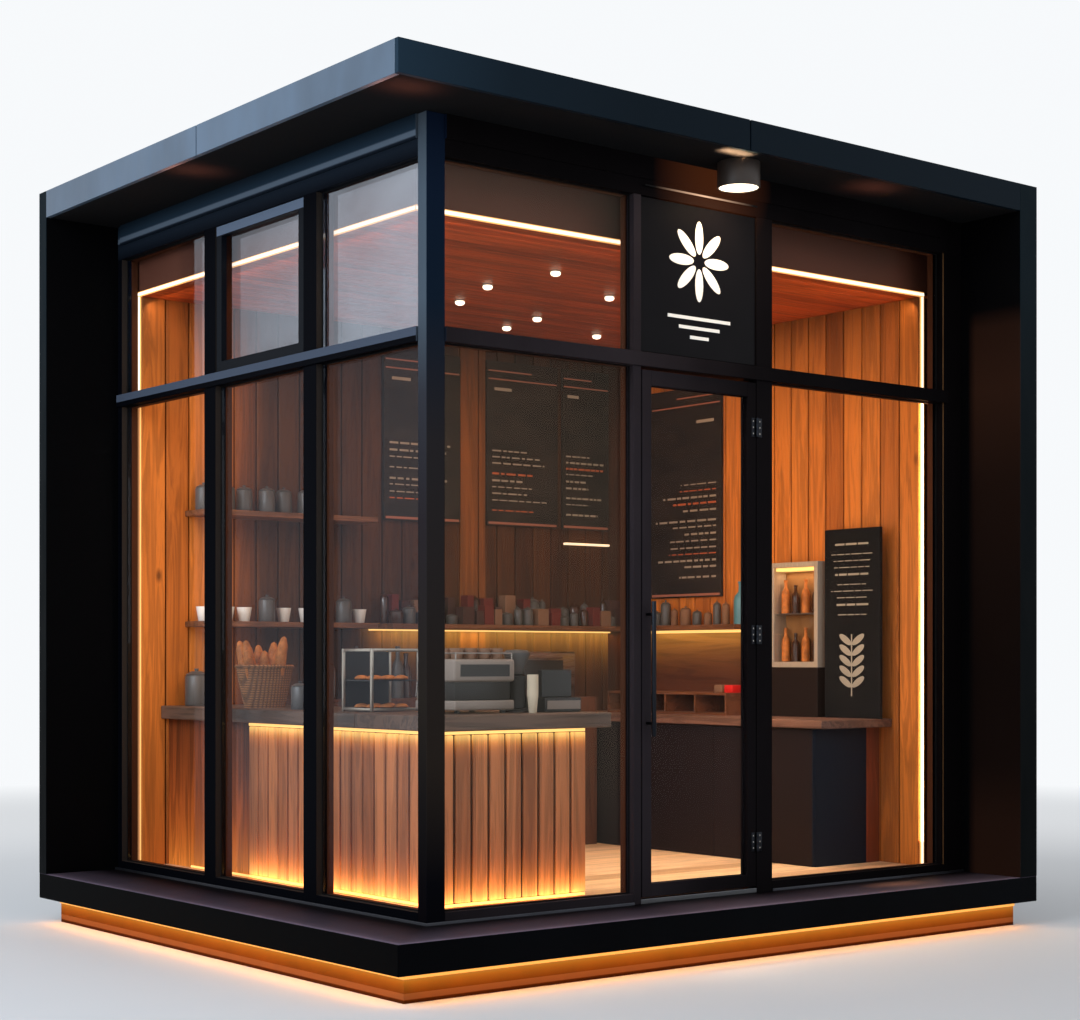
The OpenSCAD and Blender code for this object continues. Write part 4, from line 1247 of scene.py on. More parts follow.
class KIOSK_OT_furniture(bpy.types.Operator):
    """Finishes the wall counter, the back bar and the shelves"""
    bl_idname = "kiosk.furniture"
    bl_label = "Wall furniture"

    def execute(self, context):
        self.fronts("wall_counter", "navy", "counter_navy", 3)
        for node, easing, slot, shade, along, wood in (
            ("wall_counter_end", 0.002, "cabinet_timber", tone(128, 58, 28), 2,
             {"contrast": 0.4}),
            ("wall_worktop", 0.005, "dark_worktop", tone(104, 74, 62), 1,
             {"roughness": 0.4, "contrast": 0.7}),
            ("back_bar", 0.003, "cabinet_timber", tone(84, 50, 34), 2,
             {"across": 0, "board": 0.4, "roughness": 0.45}),
            ("wall_shelves", 0.003, "shelf_timber", tone(112, 70, 44), 0,
             {"roughness": 0.45, "contrast": 0.8}),
        ):
            eased_node(node, timber(node + "_timber", shade, along, **wood), easing)
        self.end_shelf()
        return {"FINISHED"}

    def fronts(self, node, chosen, slot, count):
        """A cabinet with a row of flush doors along Y, on the side that faces the room."""
        low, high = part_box(node)
        door_t, gap = 0.018, 0.004
        bm = bmesh.new()
        block(bm, (low.x + door_t, low.y, low.z), high, 0, 0.002)
        for start, end in divided(low.y, high.y, count, 0):
            block(bm, (low.x, start + gap / 2, low.z + gap),
                  (low.x + door_t, end - gap / 2, high.z - gap), 0, 0.002)
        made_object(bm, node + "_fronts", [chosen], replaces=[node])

    def end_shelf(self):
        """The shelf's return along the end wall: its board, light strip, splash panel and rack."""
        low, high = parts_of("wall_shelves")[-1]
        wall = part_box("end_wall_lining")[0].x
        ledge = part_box("wall_worktop")[1].z
        near, far, deep, gap = at(0, 1.86, 0).y, low.y, 0.15, HAIR
        wood = timber("end_shelf_timber", tone(112, 70, 44), 1, roughness=0.45, contrast=0.8)
        bar("end_shelf", (wall - deep, near, low.z), (wall - gap, far - gap, high.z), wood, 0.003)
        bar("end_shelf_light", (wall - 0.03, near + 0.02, low.z - 0.016),
            (wall - 0.012, far, low.z), "warm_strip", 0.002)
        # Painted glow of the shelf strip's light on the splash panel.
        wood = timber("splash_timber", tone(84, 46, 28), 1, contrast=0.5,
                      glows=((2, low.z, -0.40, 0.42),), glow_shades=GOLD)
        bar("splash_panel", (wall - 0.009, near, ledge), (wall - gap, far, low.z), wood, 0.001)
        end = far - 0.1
        spots = self.rack(Vector((wall - 0.30, near - 0.09, ledge)), Vector((wall - 0.012, end, ledge)))
        self.tins(spots, Vector((wall - 0.072, near + 0.02, high.z)), end)

    def rack(self, low, high):
        """A low open rack on the worktop. Gives the places on it of two tins."""
        tall, board, bays = 0.115, 0.014, 4
        bm = bmesh.new()
        for foot in (low.z, low.z + tall):
            block(bm, (low.x, low.y, foot), (high.x, high.y, foot + board), 0, 0.0015)
        for i in range(bays + 1):
            y = low.y + (high.y - low.y - board) * i / bays
            block(bm, (low.x + 0.002, y, low.z + board), (high.x, y + board, low.z + tall))
        block(bm, (high.x - 0.008, low.y + board, low.z + board),
              (high.x - 0.002, high.y - board, low.z + tall), 1)
        wood = timber("rack_timber", tone(110, 66, 42), 1)
        made_object(bm, "worktop_rack", [wood, "board_shadow"])
        return [low + Vector((0.06, 0.01 + i * 0.085, tall + board)) for i in range(2)]

    def tins(self, spots, start, end):
        """Tins on the rack, and a tall bottle and a row of jars on the return shelf."""
        bm = bmesh.new()
        for i, foot in enumerate(spots):
            block(bm, foot, foot + Vector((0.09, 0.07, 0.045)), 3 * i, 0.005)
        join(bm, bottle(0.045, 0.25), start, 1)
        draw = random.Random(21)
        place = start.y + 0.13
        while place < end:
            wide = draw.uniform(0.04, 0.075)
            spot = Vector((start.x, place, start.z))
            join(bm, jar(wide / 2, draw.uniform(0.08, 0.16)), spot, draw.choice((2, 3)))
            place += wide + draw.uniform(0.01, 0.05)
        made_object(bm, "end_shelf_tins", ["red_tin", "blue_tin", "stone_jar", "card"], smooth=40)


class KIOSK_OT_boards(bpy.types.Operator):
    """Finishes the chalk boards and rules them with plain dashes and slim rails"""
    bl_idname = "kiosk.boards"
    bl_label = "Chalk boards"

    def execute(self, context):
        draw = random.Random(11)
        eased_node("menu_boards", "slate", 0.002)
        chalk, rails = bmesh.new(), bmesh.new()
        for low, high in parts_of("menu_boards"):
            run = 0 if high.x - low.x > high.y - low.y else 1
            tall = high.z - low.z
            start = 0.54 if run == 0 else 0.46
            self.rule(chalk, low, high, run, high.z - tall * 0.16, 0.1, 0.34, 0.018)
            self.dashes(chalk, draw, low, high, run, high.z - tall * start)
            for z, end, thick in ((high.z - 0.055, 0.62, 0.008), (high.z - 0.105, 0.98, 0.008),
                                  (low.z + 0.022, 0.98, 0.014)):
                self.rule(rails, low, high, run, z, 0.02, end, thick)
        made_object(chalk, "chalk_dashes", ["chalk", "rose_chalk"])
        made_object(rails, "board_rails", ["board_rail"])
        low, high = parts_of("menu_boards")[2]
        bar("board_light_rail", (low.x + 0.02, high.y - 0.03, low.z - 0.098),
            (high.x, high.y, low.z - 0.085), "pale_lip", 0.002)
        return {"FINISHED"}

    def rule(self, bm, low, high, run, z, start, end, tall, material=0):
        """A flat bar on the face of a board, between two shares of its width."""
        wide, face = high[run] - low[run], 1 - run
        block(bm, *within(low, high, {
            run: (low[run] + wide * start, low[run] + wide * end),
            face: (low[face] - 0.0015, low[face]), 2: (z - tall, z)}), material)

    def dashes(self, bm, draw, low, high, run, z):
        """Rows of short chalk dashes, some rows in a warmer chalk."""
        while z > low.z + 0.09:
            warm = 1 if draw.random() < 0.18 else 0
            tall = draw.choice((0.007, 0.009, 0.012))
            place, end = 0.07, draw.uniform(0.45, 0.93)
            while place < end:
                wide = draw.uniform(0.04, 0.13)
                self.rule(bm, low, high, run, z, place, min(place + wide, end), tall, warm)
                place += wide + draw.uniform(0.018, 0.035)
            z -= draw.choice((0.038, 0.042, 0.062))


class KIOSK_OT_poster(bpy.types.Operator):
    """Finishes the poster stand on the wall counter with a plain sprig and dashes"""
    bl_idname = "kiosk.poster"
    bl_label = "Poster stand"

    def execute(self, context):
        eased_node("poster_stand", "black_slate", 0.003)
        low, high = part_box("poster_stand")
        draw = random.Random(5)
        film = 0.0012
        bm = bmesh.new()
        width, middle = high.y - low.y, (low.y + high.y) / 2
        z = high.z - 0.08
        for row in range(10):
            heading = row % 4 == 0
            tall = 0.011 if heading else 0.005
            reach = width * (0.30 if heading else draw.uniform(0.24, 0.38))
            place = middle - reach
            while place < middle + reach - 0.01:
                wide = draw.uniform(0.05, 0.09) if heading else draw.uniform(0.03, 0.08)
                end = min(place + wide, middle + reach)
                block(bm, (low.x - film, place, z - tall), (low.x, end, z))
                place = end + 0.010
            z -= 0.058 if heading else 0.036
        stem_low, stem_high = low.z + 0.12, low.z + 0.46
        block(bm, (low.x - film, middle - 0.004, stem_low), (low.x, middle + 0.004, stem_high))
        turn = Matrix.Rotation(-QUARTER, 4, "Z")
        for i in range(5):
            spot = Matrix.Translation((low.x, middle, stem_low + 0.05 + i * 0.058))
            for side in (-1, 1):
                join(bm, leaf(0.019, film, 18, 2.7, 0.055, -side * math.radians(58)), spot @ turn)
        made_object(bm, "poster_sprig", ["poster_film"])
        return {"FINISHED"}


class KIOSK_OT_display(bpy.types.Operator):
    """Finishes the lit display case with its shelves and bottles"""
    bl_idname = "kiosk.display"
    bl_label = "Display case"

    def execute(self, context):
        eased_node("display_case", "case_body", 0.002)
        low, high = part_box("display_glass")
        front, back = high.x + 0.004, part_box("display_case")[1].x - 0.028
        left, right = low.y + 0.002, high.y - 0.002
        shelf = low.z + (high.z - low.z) * 0.5
        bm = bmesh.new()
        block(bm, (front, left, high.z - 0.02), (back, right, high.z - 0.002), 1, 0.002)
        block(bm, (back - 0.004, left, low.z + 0.002), (back - 0.0005, right, high.z - 0.022), 2)
        block(bm, (front, left, shelf), (back - 0.004, right, shelf + 0.008), 0, 0.001)
        made_object(bm, "display_fittings", ["case_metal", "warm_strip", "gold_card"])
        bottles = bmesh.new()
        for foot in (low.z + 0.003, shelf + 0.008):
            for i in range(4):
                y = low.y + (high.y - low.y) * (i + 0.5) / 4
                join(bottles, bottle(0.024, 0.19 if i % 2 else 0.16),
                     Vector(((front + back) / 2 - 0.002, y, foot)), i % 2)
        made_object(bottles, "display_bottles", ["bottle", "crust"], smooth=40)
        return {"FINISHED"}


def vessel(radius, height, points, steps=24):
    """A turned vessel, from points that are shares of its radius and height."""
    return turned([(radius * out, height * up) for out, up in points], steps)


def cup(radius, height, wall=0.003):
    """A tapered cup, open above."""
    thin = wall / radius
    return vessel(radius, height, (
        (0, 0), (0.62, 0), (0.7, 0.04), (1, 1), (1 - thin, 1), (0.7 - thin, 0.08), (0, 0.08)))


def bottle(radius, height):
    """A bottle with a round shoulder and a slim neck."""
    return vessel(radius, height, (
        (0, 0), (1, 0), (1, 0.55), (0.85, 0.66), (0.38, 0.76), (0.36, 0.94), (0.44, 0.95),
        (0.44, 1), (0, 1)), 20)


def jar(radius, height):
    """A straight jar with a domed lid and a knob."""
    return vessel(radius, height, (
        (0, 0), (0.94, 0), (1, 0.05), (1, 0.78), (0.9, 0.82), (0.96, 0.84), (0.5, 0.92),
        (0.16, 0.93), (0.2, 1), (0, 1)))


def bun(radius):
    """A round bun, flat below."""
    points = [(0, 0), (0.8, 0)]
    for share in (i / 6 for i in range(1, 6)):
        angle = QUARTER * share
        points.append((math.cos(angle - math.radians(10 - 10 * share)), 0.62 * math.sin(angle)))
    return vessel(radius, radius, points + [(0, 0.62)], 20)


class KIOSK_OT_machine(bpy.types.Operator):
    """Builds the brewing machine on the corner counter"""
    bl_idname = "kiosk.machine"
    bl_label = "Brewing machine"

    def execute(self, context):
        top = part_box("front_worktop")[1].z - CORNER.z
        x0, x1, y0, y1 = 0.87, 1.21, 0.82, 1.14
        z = top + 0.015
        bm = bmesh.new()
        body, dark, bright = 0, 1, 2
        for x in (x0 + 0.04, x1 - 0.04):
            for y in (y0 + 0.04, y1 - 0.04):
                rod(bm, at(x, y, top), at(x, y, z + 0.004), 0.015, dark)
        for low, high, *look in (
            ((x0, y0, 0), (x1, y1, 0.045), body, 0.008, 3),
            ((x0 + 0.01, y0 + 0.02, 0.045), (x1 - 0.01, y0 + 0.15, 0.215), dark, 0.006),
            ((x0 - 0.005, y0, 0.13), (x1 + 0.005, y1 - 0.02, 0.235), body, 0.014, 3),
            ((x0 + 0.03, y0 - 0.002, 0.155), (x1 - 0.03, y0, 0.21), dark),
            ((x0 + 0.03, y1 - 0.15, 0.0452), (x1 - 0.03, y1 - 0.01, 0.05), dark),
        ):
            block(bm, at(0, 0, z) + Vector(low), at(0, 0, z) + Vector(high), *look)
        for x in (x0 + 0.09, x1 - 0.09):
            y = y1 - 0.075
            rod(bm, at(x, y, z + 0.105), at(x, y, z + 0.132), 0.03, bright, 24, 0.003)
            rod(bm, at(x, y, z + 0.09), at(x, y, z + 0.106), 0.027, dark, 24, 0.002)
            rod(bm, at(x, y + 0.02, z + 0.098), at(x, y + 0.13, z + 0.088), 0.011, dark, 16, 0.003)
        for x in (x0 + 0.025, x1 - 0.025):
            rod(bm, at(x, y1 - 0.03, z + 0.16), at(x, y1 + 0.015, z + 0.13), 0.004, bright)
            rod(bm, at(x, y1 + 0.015, z + 0.132), at(x, y1 + 0.025, z + 0.06), 0.004, bright)
        self.rail(bm, bright, x0 + 0.01, x1 - 0.01, y0 + 0.01, y1 - 0.03, z + 0.23, z + 0.262)
        made_object(bm, "brewing_machine", ["machine_body", "black_plastic", "steel"], smooth=40)
        cups = bmesh.new()
        for i in range(12):
            spot = at(x0 + 0.055 + i // 3 * 0.076, y0 + 0.065 + i % 3 * 0.08, z + 0.235)
            join(cups, cup(0.033, 0.05), spot)
        made_object(cups, "machine_cups", ["tan_china"], smooth=40)
        return {"FINISHED"}

    def rail(self, bm, material, x0, x1, y0, y1, foot_z, rail_z):
        """A gallery rail on four posts."""
        corners = ((x0, y0), (x1, y0), (x1, y1), (x0, y1))
        for here, ahead in zip(corners, corners[1:] + corners[:1]):
            for foot, head in ((at(*here, foot_z), at(*here, rail_z)),
                               (at(*here, rail_z), at(*ahead, rail_z))):
                rod(bm, foot, head, 0.0035, material, 12)


class KIOSK_OT_counter_goods(bpy.types.Operator):
    """Sets out what stands on the corner counter"""
    bl_idname = "kiosk.counter_goods"
    bl_label = "Counter goods"

    def execute(self, context):
        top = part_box("front_worktop")[1].z - CORNER.z
        self.till(top)
        self.goods_case(top)
        self.bread(top)
        paper = bmesh.new()
        for i in range(9):
            join(paper, cup(0.027, 0.09, 0.002), at(1.27, 0.76, top + i * 0.011))
        made_object(paper, "paper_cups", ["cream_card"], smooth=40)
        jars = bmesh.new()
        for maker, radius, height, x, y, material in (
            (jar, 0.062, 0.2, 0.75, 3.02, 0), (jar, 0.05, 0.16, 0.90, 3.06, 0),
            (jar, 0.045, 0.14, 0.76, 1.98, 0), (bottle, 0.03, 0.24, 0.72, 1.72, 1),
            (bottle, 0.03, 0.22, 0.79, 1.80, 1),
        ):
            join(jars, maker(radius, height), at(x, y, top), material)
        made_object(jars, "counter_jars", ["stone_jar", "bottle"], smooth=40)
        return {"FINISHED"}

    def till(self, top):
        """A till with a drawer, keys and an upright screen, and a bean grinder beside it."""
        bm = bmesh.new()
        body, pale = 0, 1
        block(bm, at(1.36, 0.78, top), at(1.58, 1.06, top + 0.07), body, 0.006)
        block(bm, at(1.37, 0.775, top + 0.015), at(1.57, 0.78, top + 0.055), pale, 0.001)
        for i in range(12):
            key = at(1.39 + i // 3 * 0.045, 0.93 + i % 3 * 0.036, top + 0.07)
            block(bm, key, key + Vector((0.032, 0.024, 0.008)), pale, 0.002)
        block(bm, at(1.38, 0.83, top + 0.07), at(1.56, 0.86, top + 0.2), body, 0.004)
        block(bm, at(1.39, 0.861, top + 0.09), at(1.55, 0.863, top + 0.19), pale)
        made_object(bm, "till", ["black_plastic", "machine_body"])
        grinder = bmesh.new()
        join(grinder, turned([(0, 0), (0.06, 0), (0.06, 0.012), (0.045, 0.02), (0.045, 0.15),
                              (0.05, 0.16), (0.05, 0.17), (0.03, 0.18), (0, 0.18)], 28),
             at(1.30, 0.92, top))
        join(grinder, turned([(0, 0), (0.028, 0), (0.062, 0.09), (0.062, 0.1), (0.05, 0.112),
                              (0, 0.115)], 28), at(1.30, 0.92, top + 0.18), 1)
        made_object(grinder, "grinder", ["black_plastic", "stone_jar"], smooth=40)

    def goods_case(self, top):
        """A small case with a pale frame and a dark inside, on the side leg."""
        x0, x1, y0, y1, tall, bar_w, lip = 0.76, 1.04, 1.34, 1.60, 0.3, 0.014, 0.001
        bm = bmesh.new()
        for x in (x0, x1 - bar_w):
            for y in (y0, y1 - bar_w):
                block(bm, at(x, y, top), at(x + bar_w, y + bar_w, top + tall), 0, 0.002)
        for z in (top + 0.004, top + tall - bar_w):
            for y in (y0, y1 - bar_w):
                block(bm, at(x0 + bar_w, y + lip, z), at(x1 - bar_w, y + bar_w - lip, z + bar_w), 0,
                      0.002)
            for x in (x0, x1 - bar_w):
                block(bm, at(x + lip, y0 + bar_w, z), at(x + bar_w - lip, y1 - bar_w, z + bar_w), 0,
                      0.002)
        left, right, near = x0 + bar_w, x1 - bar_w, y0 + bar_w
        block(bm, at(left, near, top + 0.005), at(right, y1 - bar_w, top + 0.016), 1)
        block(bm, at(left, y1 - 0.012, top + 0.02), at(right, y1 - 0.006, top + tall - bar_w), 1)
        block(bm, at(left, near, top + 0.145), at(right, y1 - 0.016, top + 0.151), 1)
        for foot in (top + 0.016, top + 0.151):
            for i in range(6):
                join(bm, bun(0.036), at(x0 + 0.06 + i // 2 * 0.08, y0 + 0.075 + i % 2 * 0.1, foot), 2)
        made_object(bm, "goods_case", ["case_metal", "black_plastic", "crust"], smooth=40)

    def bread(self, top):
        """A cane basket of long rolls that lean outwards."""
        x, y = 0.84, 2.46
        basket, loaves = bmesh.new(), bmesh.new()
        join(basket, turned([(0, 0), (0.105, 0), (0.135, 0.14), (0.145, 0.2), (0.155, 0.212),
                             (0.145, 0.222), (0.134, 0.204), (0.124, 0.14), (0.096, 0.012),
                             (0, 0.012)], 40), at(x, y, top))
        made_object(basket, "bread_basket", ["cane"], smooth=40)
        draw = random.Random(3)
        for i in range(9):
            angle = math.tau * i / 9
            out = Vector((math.cos(angle), math.sin(angle), 0))
            foot = at(x, y, top + 0.03) + out * (0.03 + 0.05 * (i % 2))
            turn = UP.rotation_difference(out * 0.22 + UP).to_matrix().to_4x4()
            tall = draw.uniform(0.27, 0.36)
            roll = turned([(0, 0), (0.014, 0.01), (0.026, 0.05), (0.03, tall * 0.5),
                           (0.026, tall - 0.05), (0.014, tall - 0.01), (0, tall)], 18)
            join(loaves, roll, Matrix.Translation(foot) @ turn)
        made_object(loaves, "bread_rolls", ["crust"], smooth=50)


class KIOSK_OT_shelf_goods(bpy.types.Operator):
    """Fills the shelves and the back bar"""
    bl_idname = "kiosk.shelf_goods"
    bl_label = "Shelf goods"

    def execute(self, context):
        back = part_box("wall_shelves")[1].y - CORNER.y
        top = parts_of("wall_shelves")[-1][1].z - CORNER.z
        self.long_shelf(back, top)
        self.cups(back, top)
        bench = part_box("back_bar")[1] - CORNER
        self.back_bar(bench.y, bench.z)
        return {"FINISHED"}

    def long_shelf(self, back, top):
        """Small jars, tins and packs in two rows."""
        draw = random.Random(8)
        packs, jars = bmesh.new(), bmesh.new()
        for depth, tallest in ((0.05, 0.19), (0.15, 0.12)):
            place = 1.98
            while place < 3.70:
                wide = draw.uniform(0.04, 0.085)
                tall = draw.uniform(0.5, 1.0) * tallest
                if draw.random() < 0.4:
                    join(jars, jar(wide / 2, tall), at(place + wide / 2, back - depth - 0.03, top),
                         draw.choice((0, 0, 1)))
                else:
                    block(packs, at(place, back - depth - 0.07, top),
                          at(place + wide, back - depth, top + tall), draw.choice((0, 0, 1, 2)),
                          0.002)
                place += wide + draw.uniform(0.004, 0.03)
        made_object(packs, "shelf_packs", ["dark_card", "card", "red_card"])
        made_object(jars, "shelf_tins", ["stone_jar", "bottle"], smooth=40)

    def cups(self, back, top):
        """Cups with a jar now and then on the long shelf, and jars on the short one above it."""
        white, brown = bmesh.new(), bmesh.new()
        for shelf_top, count, every in ((top, 9, 4), (1.93, 6, 1)):
            for i in range(count):
                spot = at(0.82 + i * 0.125, back - 0.1 - 0.03 * (i % 2), shelf_top)
                if i % every == every - 1:
                    join(brown, jar(0.045, 0.15), spot)
                else:
                    join(white, cup(0.042, 0.08), spot)
        made_object(white, "shelf_cups", ["china"], smooth=40)
        made_object(brown, "shelf_jars", ["stone_jar"], smooth=40)

    def back_bar(self, back, top):
        """A bench oven, bottles and trays of buns."""
        oven = bmesh.new()
        block(oven, at(2.72, back - 0.42, top), at(3.16, back - 0.06, top + 0.27), 0, 0.01, 3)
        block(oven, at(2.76, back - 0.426, top + 0.05), at(3.06, back - 0.42, top + 0.22), 1, 0.002)
        grip = top + 0.235
        rod(oven, at(2.78, back - 0.44, grip), at(3.04, back - 0.44, grip), 0.006)
        for x in (2.80, 3.02):
            rod(oven, at(x, back - 0.442, grip), at(x, back - 0.418, grip), 0.004)
        made_object(oven, "bench_oven", ["steel", "black_plastic"], smooth=40)
        bottles, trays = bmesh.new(), bmesh.new()
        for i in range(7):
            join(bottles, bottle(0.034, 0.26 + 0.02 * (i % 3)),
                 at(1.62 + i * 0.085, back - 0.12 - 0.04 * (i % 2), top), i % 2)
        made_object(bottles, "bar_bottles", ["bottle", "stone_jar"], smooth=40)
        for x in (2.24 + i * 0.15 for i in range(3)):
            block(trays, at(x, back - 0.38, top), at(x + 0.13, back - 0.12, top + 0.015), 0, 0.003)
            for j in range(2):
                join(trays, bun(0.045), at(x + 0.065, back - 0.31 + 0.12 * j, top + 0.013), 1)
        made_object(trays, "bar_trays", ["cream_card", "crust"], smooth=40)


class KIOSK_OT_stage(bpy.types.Operator):
    """Sets the floor, the lamps, the white background and the camera"""
    bl_idname = "kiosk.stage"
    bl_label = "Stage"

    def execute(self, context):
        context.scene.view_settings.view_transform = "Standard"
        self.floor()
        self.world(context.scene)
        self.studio()
        self.room()
        self.facade()
        self.camera(context.scene)
        return {"FINISHED"}

    def floor(self):
        bm = bmesh.new()
        bmesh.ops.create_grid(bm, x_segments=1, y_segments=1, size=60)
        mesh = bpy.data.meshes.new("stage_floor")
        bm.to_mesh(mesh)
        bm.free()
        g = Graph("stage_floor")
        away = g.maths("DIVIDE", g.vector("LENGTH", g.place()), 16.0)
        far = g.ramp(away, (0.3, 0.0), (0.8, 1.0))
        mesh.materials.append(g.set(
            Base_Color=g.mix(far, (0.58, 0.58, 0.59), (0.0, 0.0, 0.0)), Roughness=1.0,
            Specular_IOR_Level=0.0, Emission_Color=BACKDROP, Emission_Strength=far))
        ground = bpy.data.objects.new("stage_floor", mesh)
        ground.location.z = -HAIR
        bpy.context.scene.collection.objects.link(ground)

    def world(self, scene):
        """A pale backdrop for the camera and for mirrors, and a soft light for the rest."""
        scene.world = bpy.data.worlds.new("studio")
        scene.world.use_nodes = True
        tree = Tree(scene.world.node_tree)
        tree.tree.nodes.clear()
        path = tree.add("ShaderNodeLightPath").outputs
        seen = tree.maths("MAXIMUM", path["Is Camera Ray"], path["Is Glossy Ray"])
        seen = tree.maths("MAXIMUM", seen, path["Is Transmission Ray"])
        soft, backdrop = (
            tree.add("ShaderNodeBackground", {"Color": shade, "Strength": power}).outputs[0]
            for shade, power in (((0.86, 0.93, 1.0), 0.6), (BACKDROP, 1.0))
        )
        mixed = tree.add("ShaderNodeMixShader", {0: seen, 1: soft, 2: backdrop}).outputs[0]
        tree.add("ShaderNodeOutputWorld", {0: mixed})

    def lamp(self, name, place, aim, size, power, shade, along=(1, 0, 0), fan=180):
        """A soft rectangular lamp that shines from a place towards a direction."""
        light = bpy.data.lights.new(name, "AREA")
        light.shape = "RECTANGLE"
        light.size, light.size_y = size
        light.energy = power
        light.color = shade
        light.spread = math.radians(fan)
        made = bpy.data.objects.new(name, light)
        back = -Vector(aim).normalized()
        side = (Vector(along) - back * Vector(along).dot(back)).normalized()
        turn = Matrix((side, back.cross(side), back)).transposed().to_4x4()
        made.matrix_world = Matrix.Translation(place) @ turn
        made.visible_camera = False
        made.visible_glossy = False
        bpy.context.scene.collection.objects.link(made)
        return made

    def studio(self):
        middle = (CAD_BOX[0] + CAD_BOX[1]) / 2
        white, large, y_way = (1.0, 0.98, 0.95), (6, 4), (0, 1, 0)
        left = self.lamp("studio_left", middle + Vector((-7, -1.5, 3.5)), (7, 1.0, -3), large, 420,
                         (0.78, 0.89, 1.0), y_way)
        left.visible_glossy = True
        self.lamp("studio_front", middle + Vector((1.5, -8, 4)), (-1, 8, -4), large, 110, white)
        self.lamp("studio_right", middle + Vector((8, 3, 3)), (-8, -3, -3), large, 200, white, y_way)
        self.lamp("studio_back", middle + Vector((-1, 8, 3)), (1, -8, -3), large, 200, white)

    def room(self):
        """The light that the strips and lamps inside the kiosk give."""
        warm, gold, x_way, y_way = (1.0, 0.66, 0.36), (1.0, 0.60, 0.17), (1, 0, 0), (0, 1, 0)
        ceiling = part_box("ceiling")[0].z - CORNER.z - 0.03
        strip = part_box("furniture_lights")[1].z - CORNER.z - 0.02
        low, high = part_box("display_glass")
        for row in (
            ("room_fill", at(2.3, 1.9, ceiling), (0, 0, -1), (2.6, 1.8), 19, warm),
            ("wall_wash", at(2.6, 1.3, 1.5), (1, 0.1, -0.1), (1.0, 1.2), 12.5, warm, y_way),
            ("door_fill", at(2.3, 1.1, 2.9), (0, 0, -1), (1.3, 0.5), 17, (1.0, 0.84, 0.66), x_way,
             70),
            ("back_wash", at(0.62, 2.6, 1.5), (0.15, 1, 0), (0.1, 1.8), 3.5, warm),
            ("mouth_front", at(2.15, 0.63, ceiling), (0, 0.6, -0.8), (3.2, 0.04), 9, warm),
            ("mouth_left", at(0.54, 1.9, ceiling), (0.6, 0, -0.8), (2.5, 0.04), 7, warm, y_way),
            ("mouth_right", at(3.79, 0.59, 1.35), (-0.2, 1, 0), (2.4, 0.03), 4.5, warm, UP),
            ("shelf_light", at(2.9, 3.13, strip), (0, 0.25, -1), (1.8, 0.02), 1.7, gold),
            ("end_shelf_lamp", at(3.72, 2.5, strip), (0.25, 0, -1), (1.2, 0.02), 1.0, gold, y_way),
            ("case_light", Vector((high.x + 0.045, (low.y + high.y) / 2, high.z - 0.03)),
             (0, 0, -1), (0.28, 0.05), 0.4, warm, y_way),
        ):
            self.lamp(*row)

    def facade(self):
        """The light at the foot of the counter and of the kiosk, and under the roof edge."""
        warm, amber, x_way, y_way = (1.0, 0.66, 0.36), (1.0, 0.42, 0.10), (1, 0, 0), (0, 1, 0)
        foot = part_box("base_lights")[1].z - SLAB_HIGH.z - 0.015
        low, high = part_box("lamp_lens")
        drum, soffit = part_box("soffit_lamp")[0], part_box("roof_deck")[0].z
        for row in (
            ("counter_front_light", at(1.07, 0.64, 0.03), (0, 0.5, 1), (0.8, 0.02), 1.6, amber),
            ("counter_side_light", at(0.625, 1.45, 0.03), (0.5, 0, 1), (1.6, 0.02), 2.6, amber,
             y_way),
            ("base_front_light", at(2.0, 0.05, foot), (0, -0.6, -1), (3.8, 0.03), 4.8, amber),
            ("base_left_light", at(0.05, 1.67, foot), (-0.5, 0, -1), (3.2, 0.03), 4.5, amber, y_way),
            ("soffit_lamp_light", Vector(((low.x + high.x) / 2, (low.y + high.y) / 2, low.z - 0.005)),
             (0, 0.1, -1), (0.16, 0.16), 7, warm),
            ("soffit_glow", Vector((drum.x - 0.04, drum.y - 0.03, soffit - 0.04)), (0, 0, 1),
             (0.15, 0.04), 7, (1.0, 0.60, 0.30), x_way, 110),
        ):
            self.lamp(*row)
        for name, x, y in (("corner_glow", 0.14, 0.14), ("left_glow", 0.12, 1.9),
                           ("right_glow", 2.9, 0.13)):
            self.lamp(name, at(x, y, soffit - CORNER.z - 0.14), (0, 0, 1), (0.2, 0.08), 1.3,
                      (1.0, 0.28, 0.14), x_way, 120)

    def camera(self, scene):
        view = group("view")
        data = bpy.data.cameras.new("camera")
        data.sensor_width = 36.0
        data.lens = view.lens_mm
        data.shift_y = view.shift
        data.clip_end = 200
        eye = bpy.data.objects.new("camera", data)
        eye.location = at(-view.left, -view.before, view.eye)
        eye.rotation_euler = (QUARTER, 0, math.radians(-view.turn_deg))
        scene.collection.objects.link(eye)
        scene.camera = eye


GROUPS = (
    ("kiosk_metal", KioskMetal), ("kiosk_boards", KioskBoards),
    ("kiosk_glow", KioskGlow), ("kiosk_view", KioskView),
)
OPERATORS = (
    KIOSK_OT_metalwork, KIOSK_OT_cladding, KIOSK_OT_glazing, KIOSK_OT_door, KIOSK_OT_sign,
    KIOSK_OT_lights, KIOSK_OT_planks, KIOSK_OT_ceiling, KIOSK_OT_floor, KIOSK_OT_counter,
    KIOSK_OT_furniture, KIOSK_OT_boards, KIOSK_OT_poster, KIOSK_OT_display,
    KIOSK_OT_machine, KIOSK_OT_counter_goods, KIOSK_OT_shelf_goods, KIOSK_OT_stage,
)


class KIOSK_PT_panel(bpy.types.Panel):
    """The kiosk's pieces, in the order that they are made"""
    bl_label = "Street Kiosk"
    bl_idname = "KIOSK_PT_panel"
    bl_space_type = "VIEW_3D"
    bl_region_type = "UI"
    bl_category = "Kiosk"

    def draw(self, context):
        for operator in OPERATORS:
            self.layout.operator(operator.bl_idname)


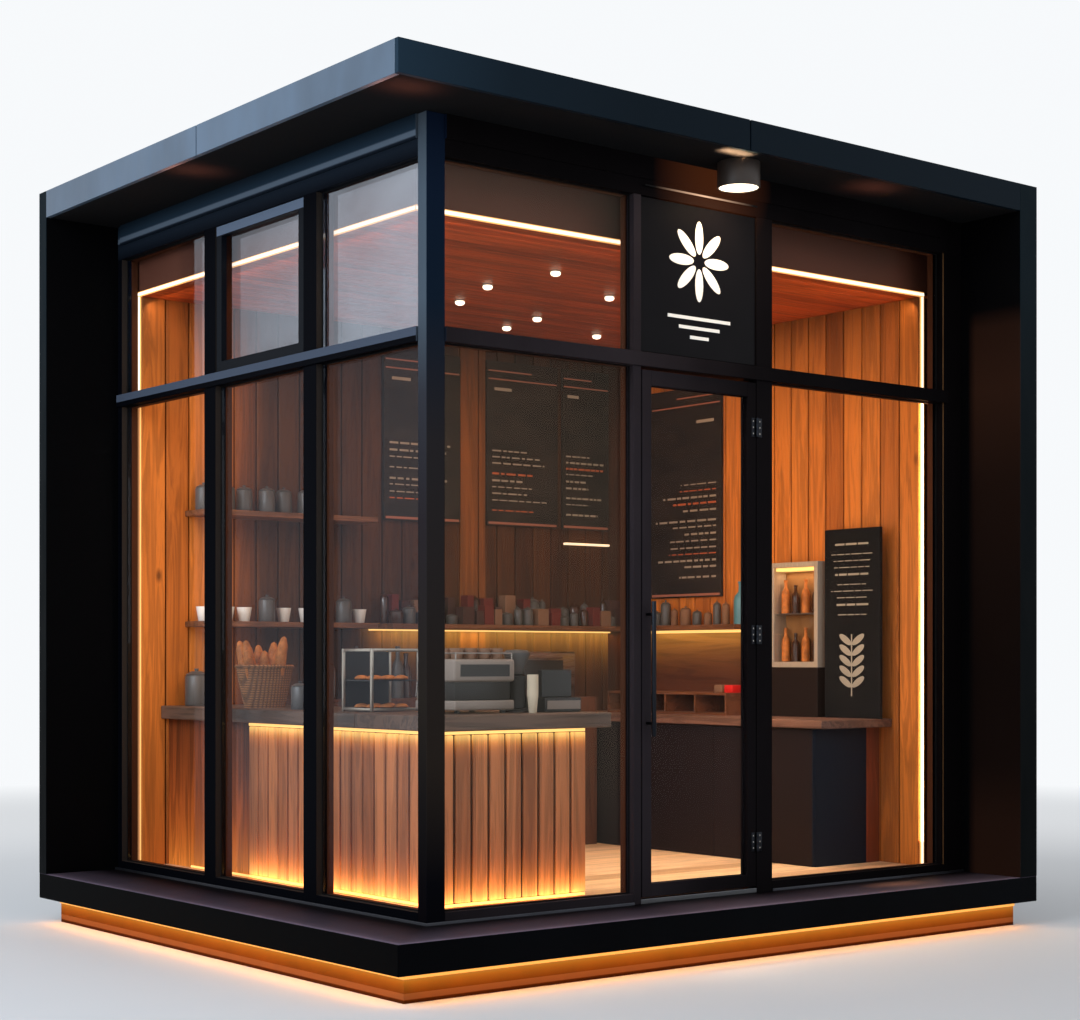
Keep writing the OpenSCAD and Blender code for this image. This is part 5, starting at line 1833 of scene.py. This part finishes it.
def register():
    for name, kind in GROUPS:
        bpy.utils.register_class(kind)
        setattr(bpy.types.Scene, name, PointerProperty(type=kind))
    for cls in (*OPERATORS, KIOSK_PT_panel):
        bpy.utils.register_class(cls)


def unregister():
    for cls in reversed((*OPERATORS, KIOSK_PT_panel)):
        bpy.utils.unregister_class(cls)
    for name, kind in reversed(GROUPS):
        delattr(bpy.types.Scene, name)
        bpy.utils.unregister_class(kind)


def main():
    register()
    for operator in OPERATORS:
        folder, call = operator.bl_idname.split(".")
        getattr(getattr(bpy.ops, folder), call)()


if __name__ == "__main__":
    main()
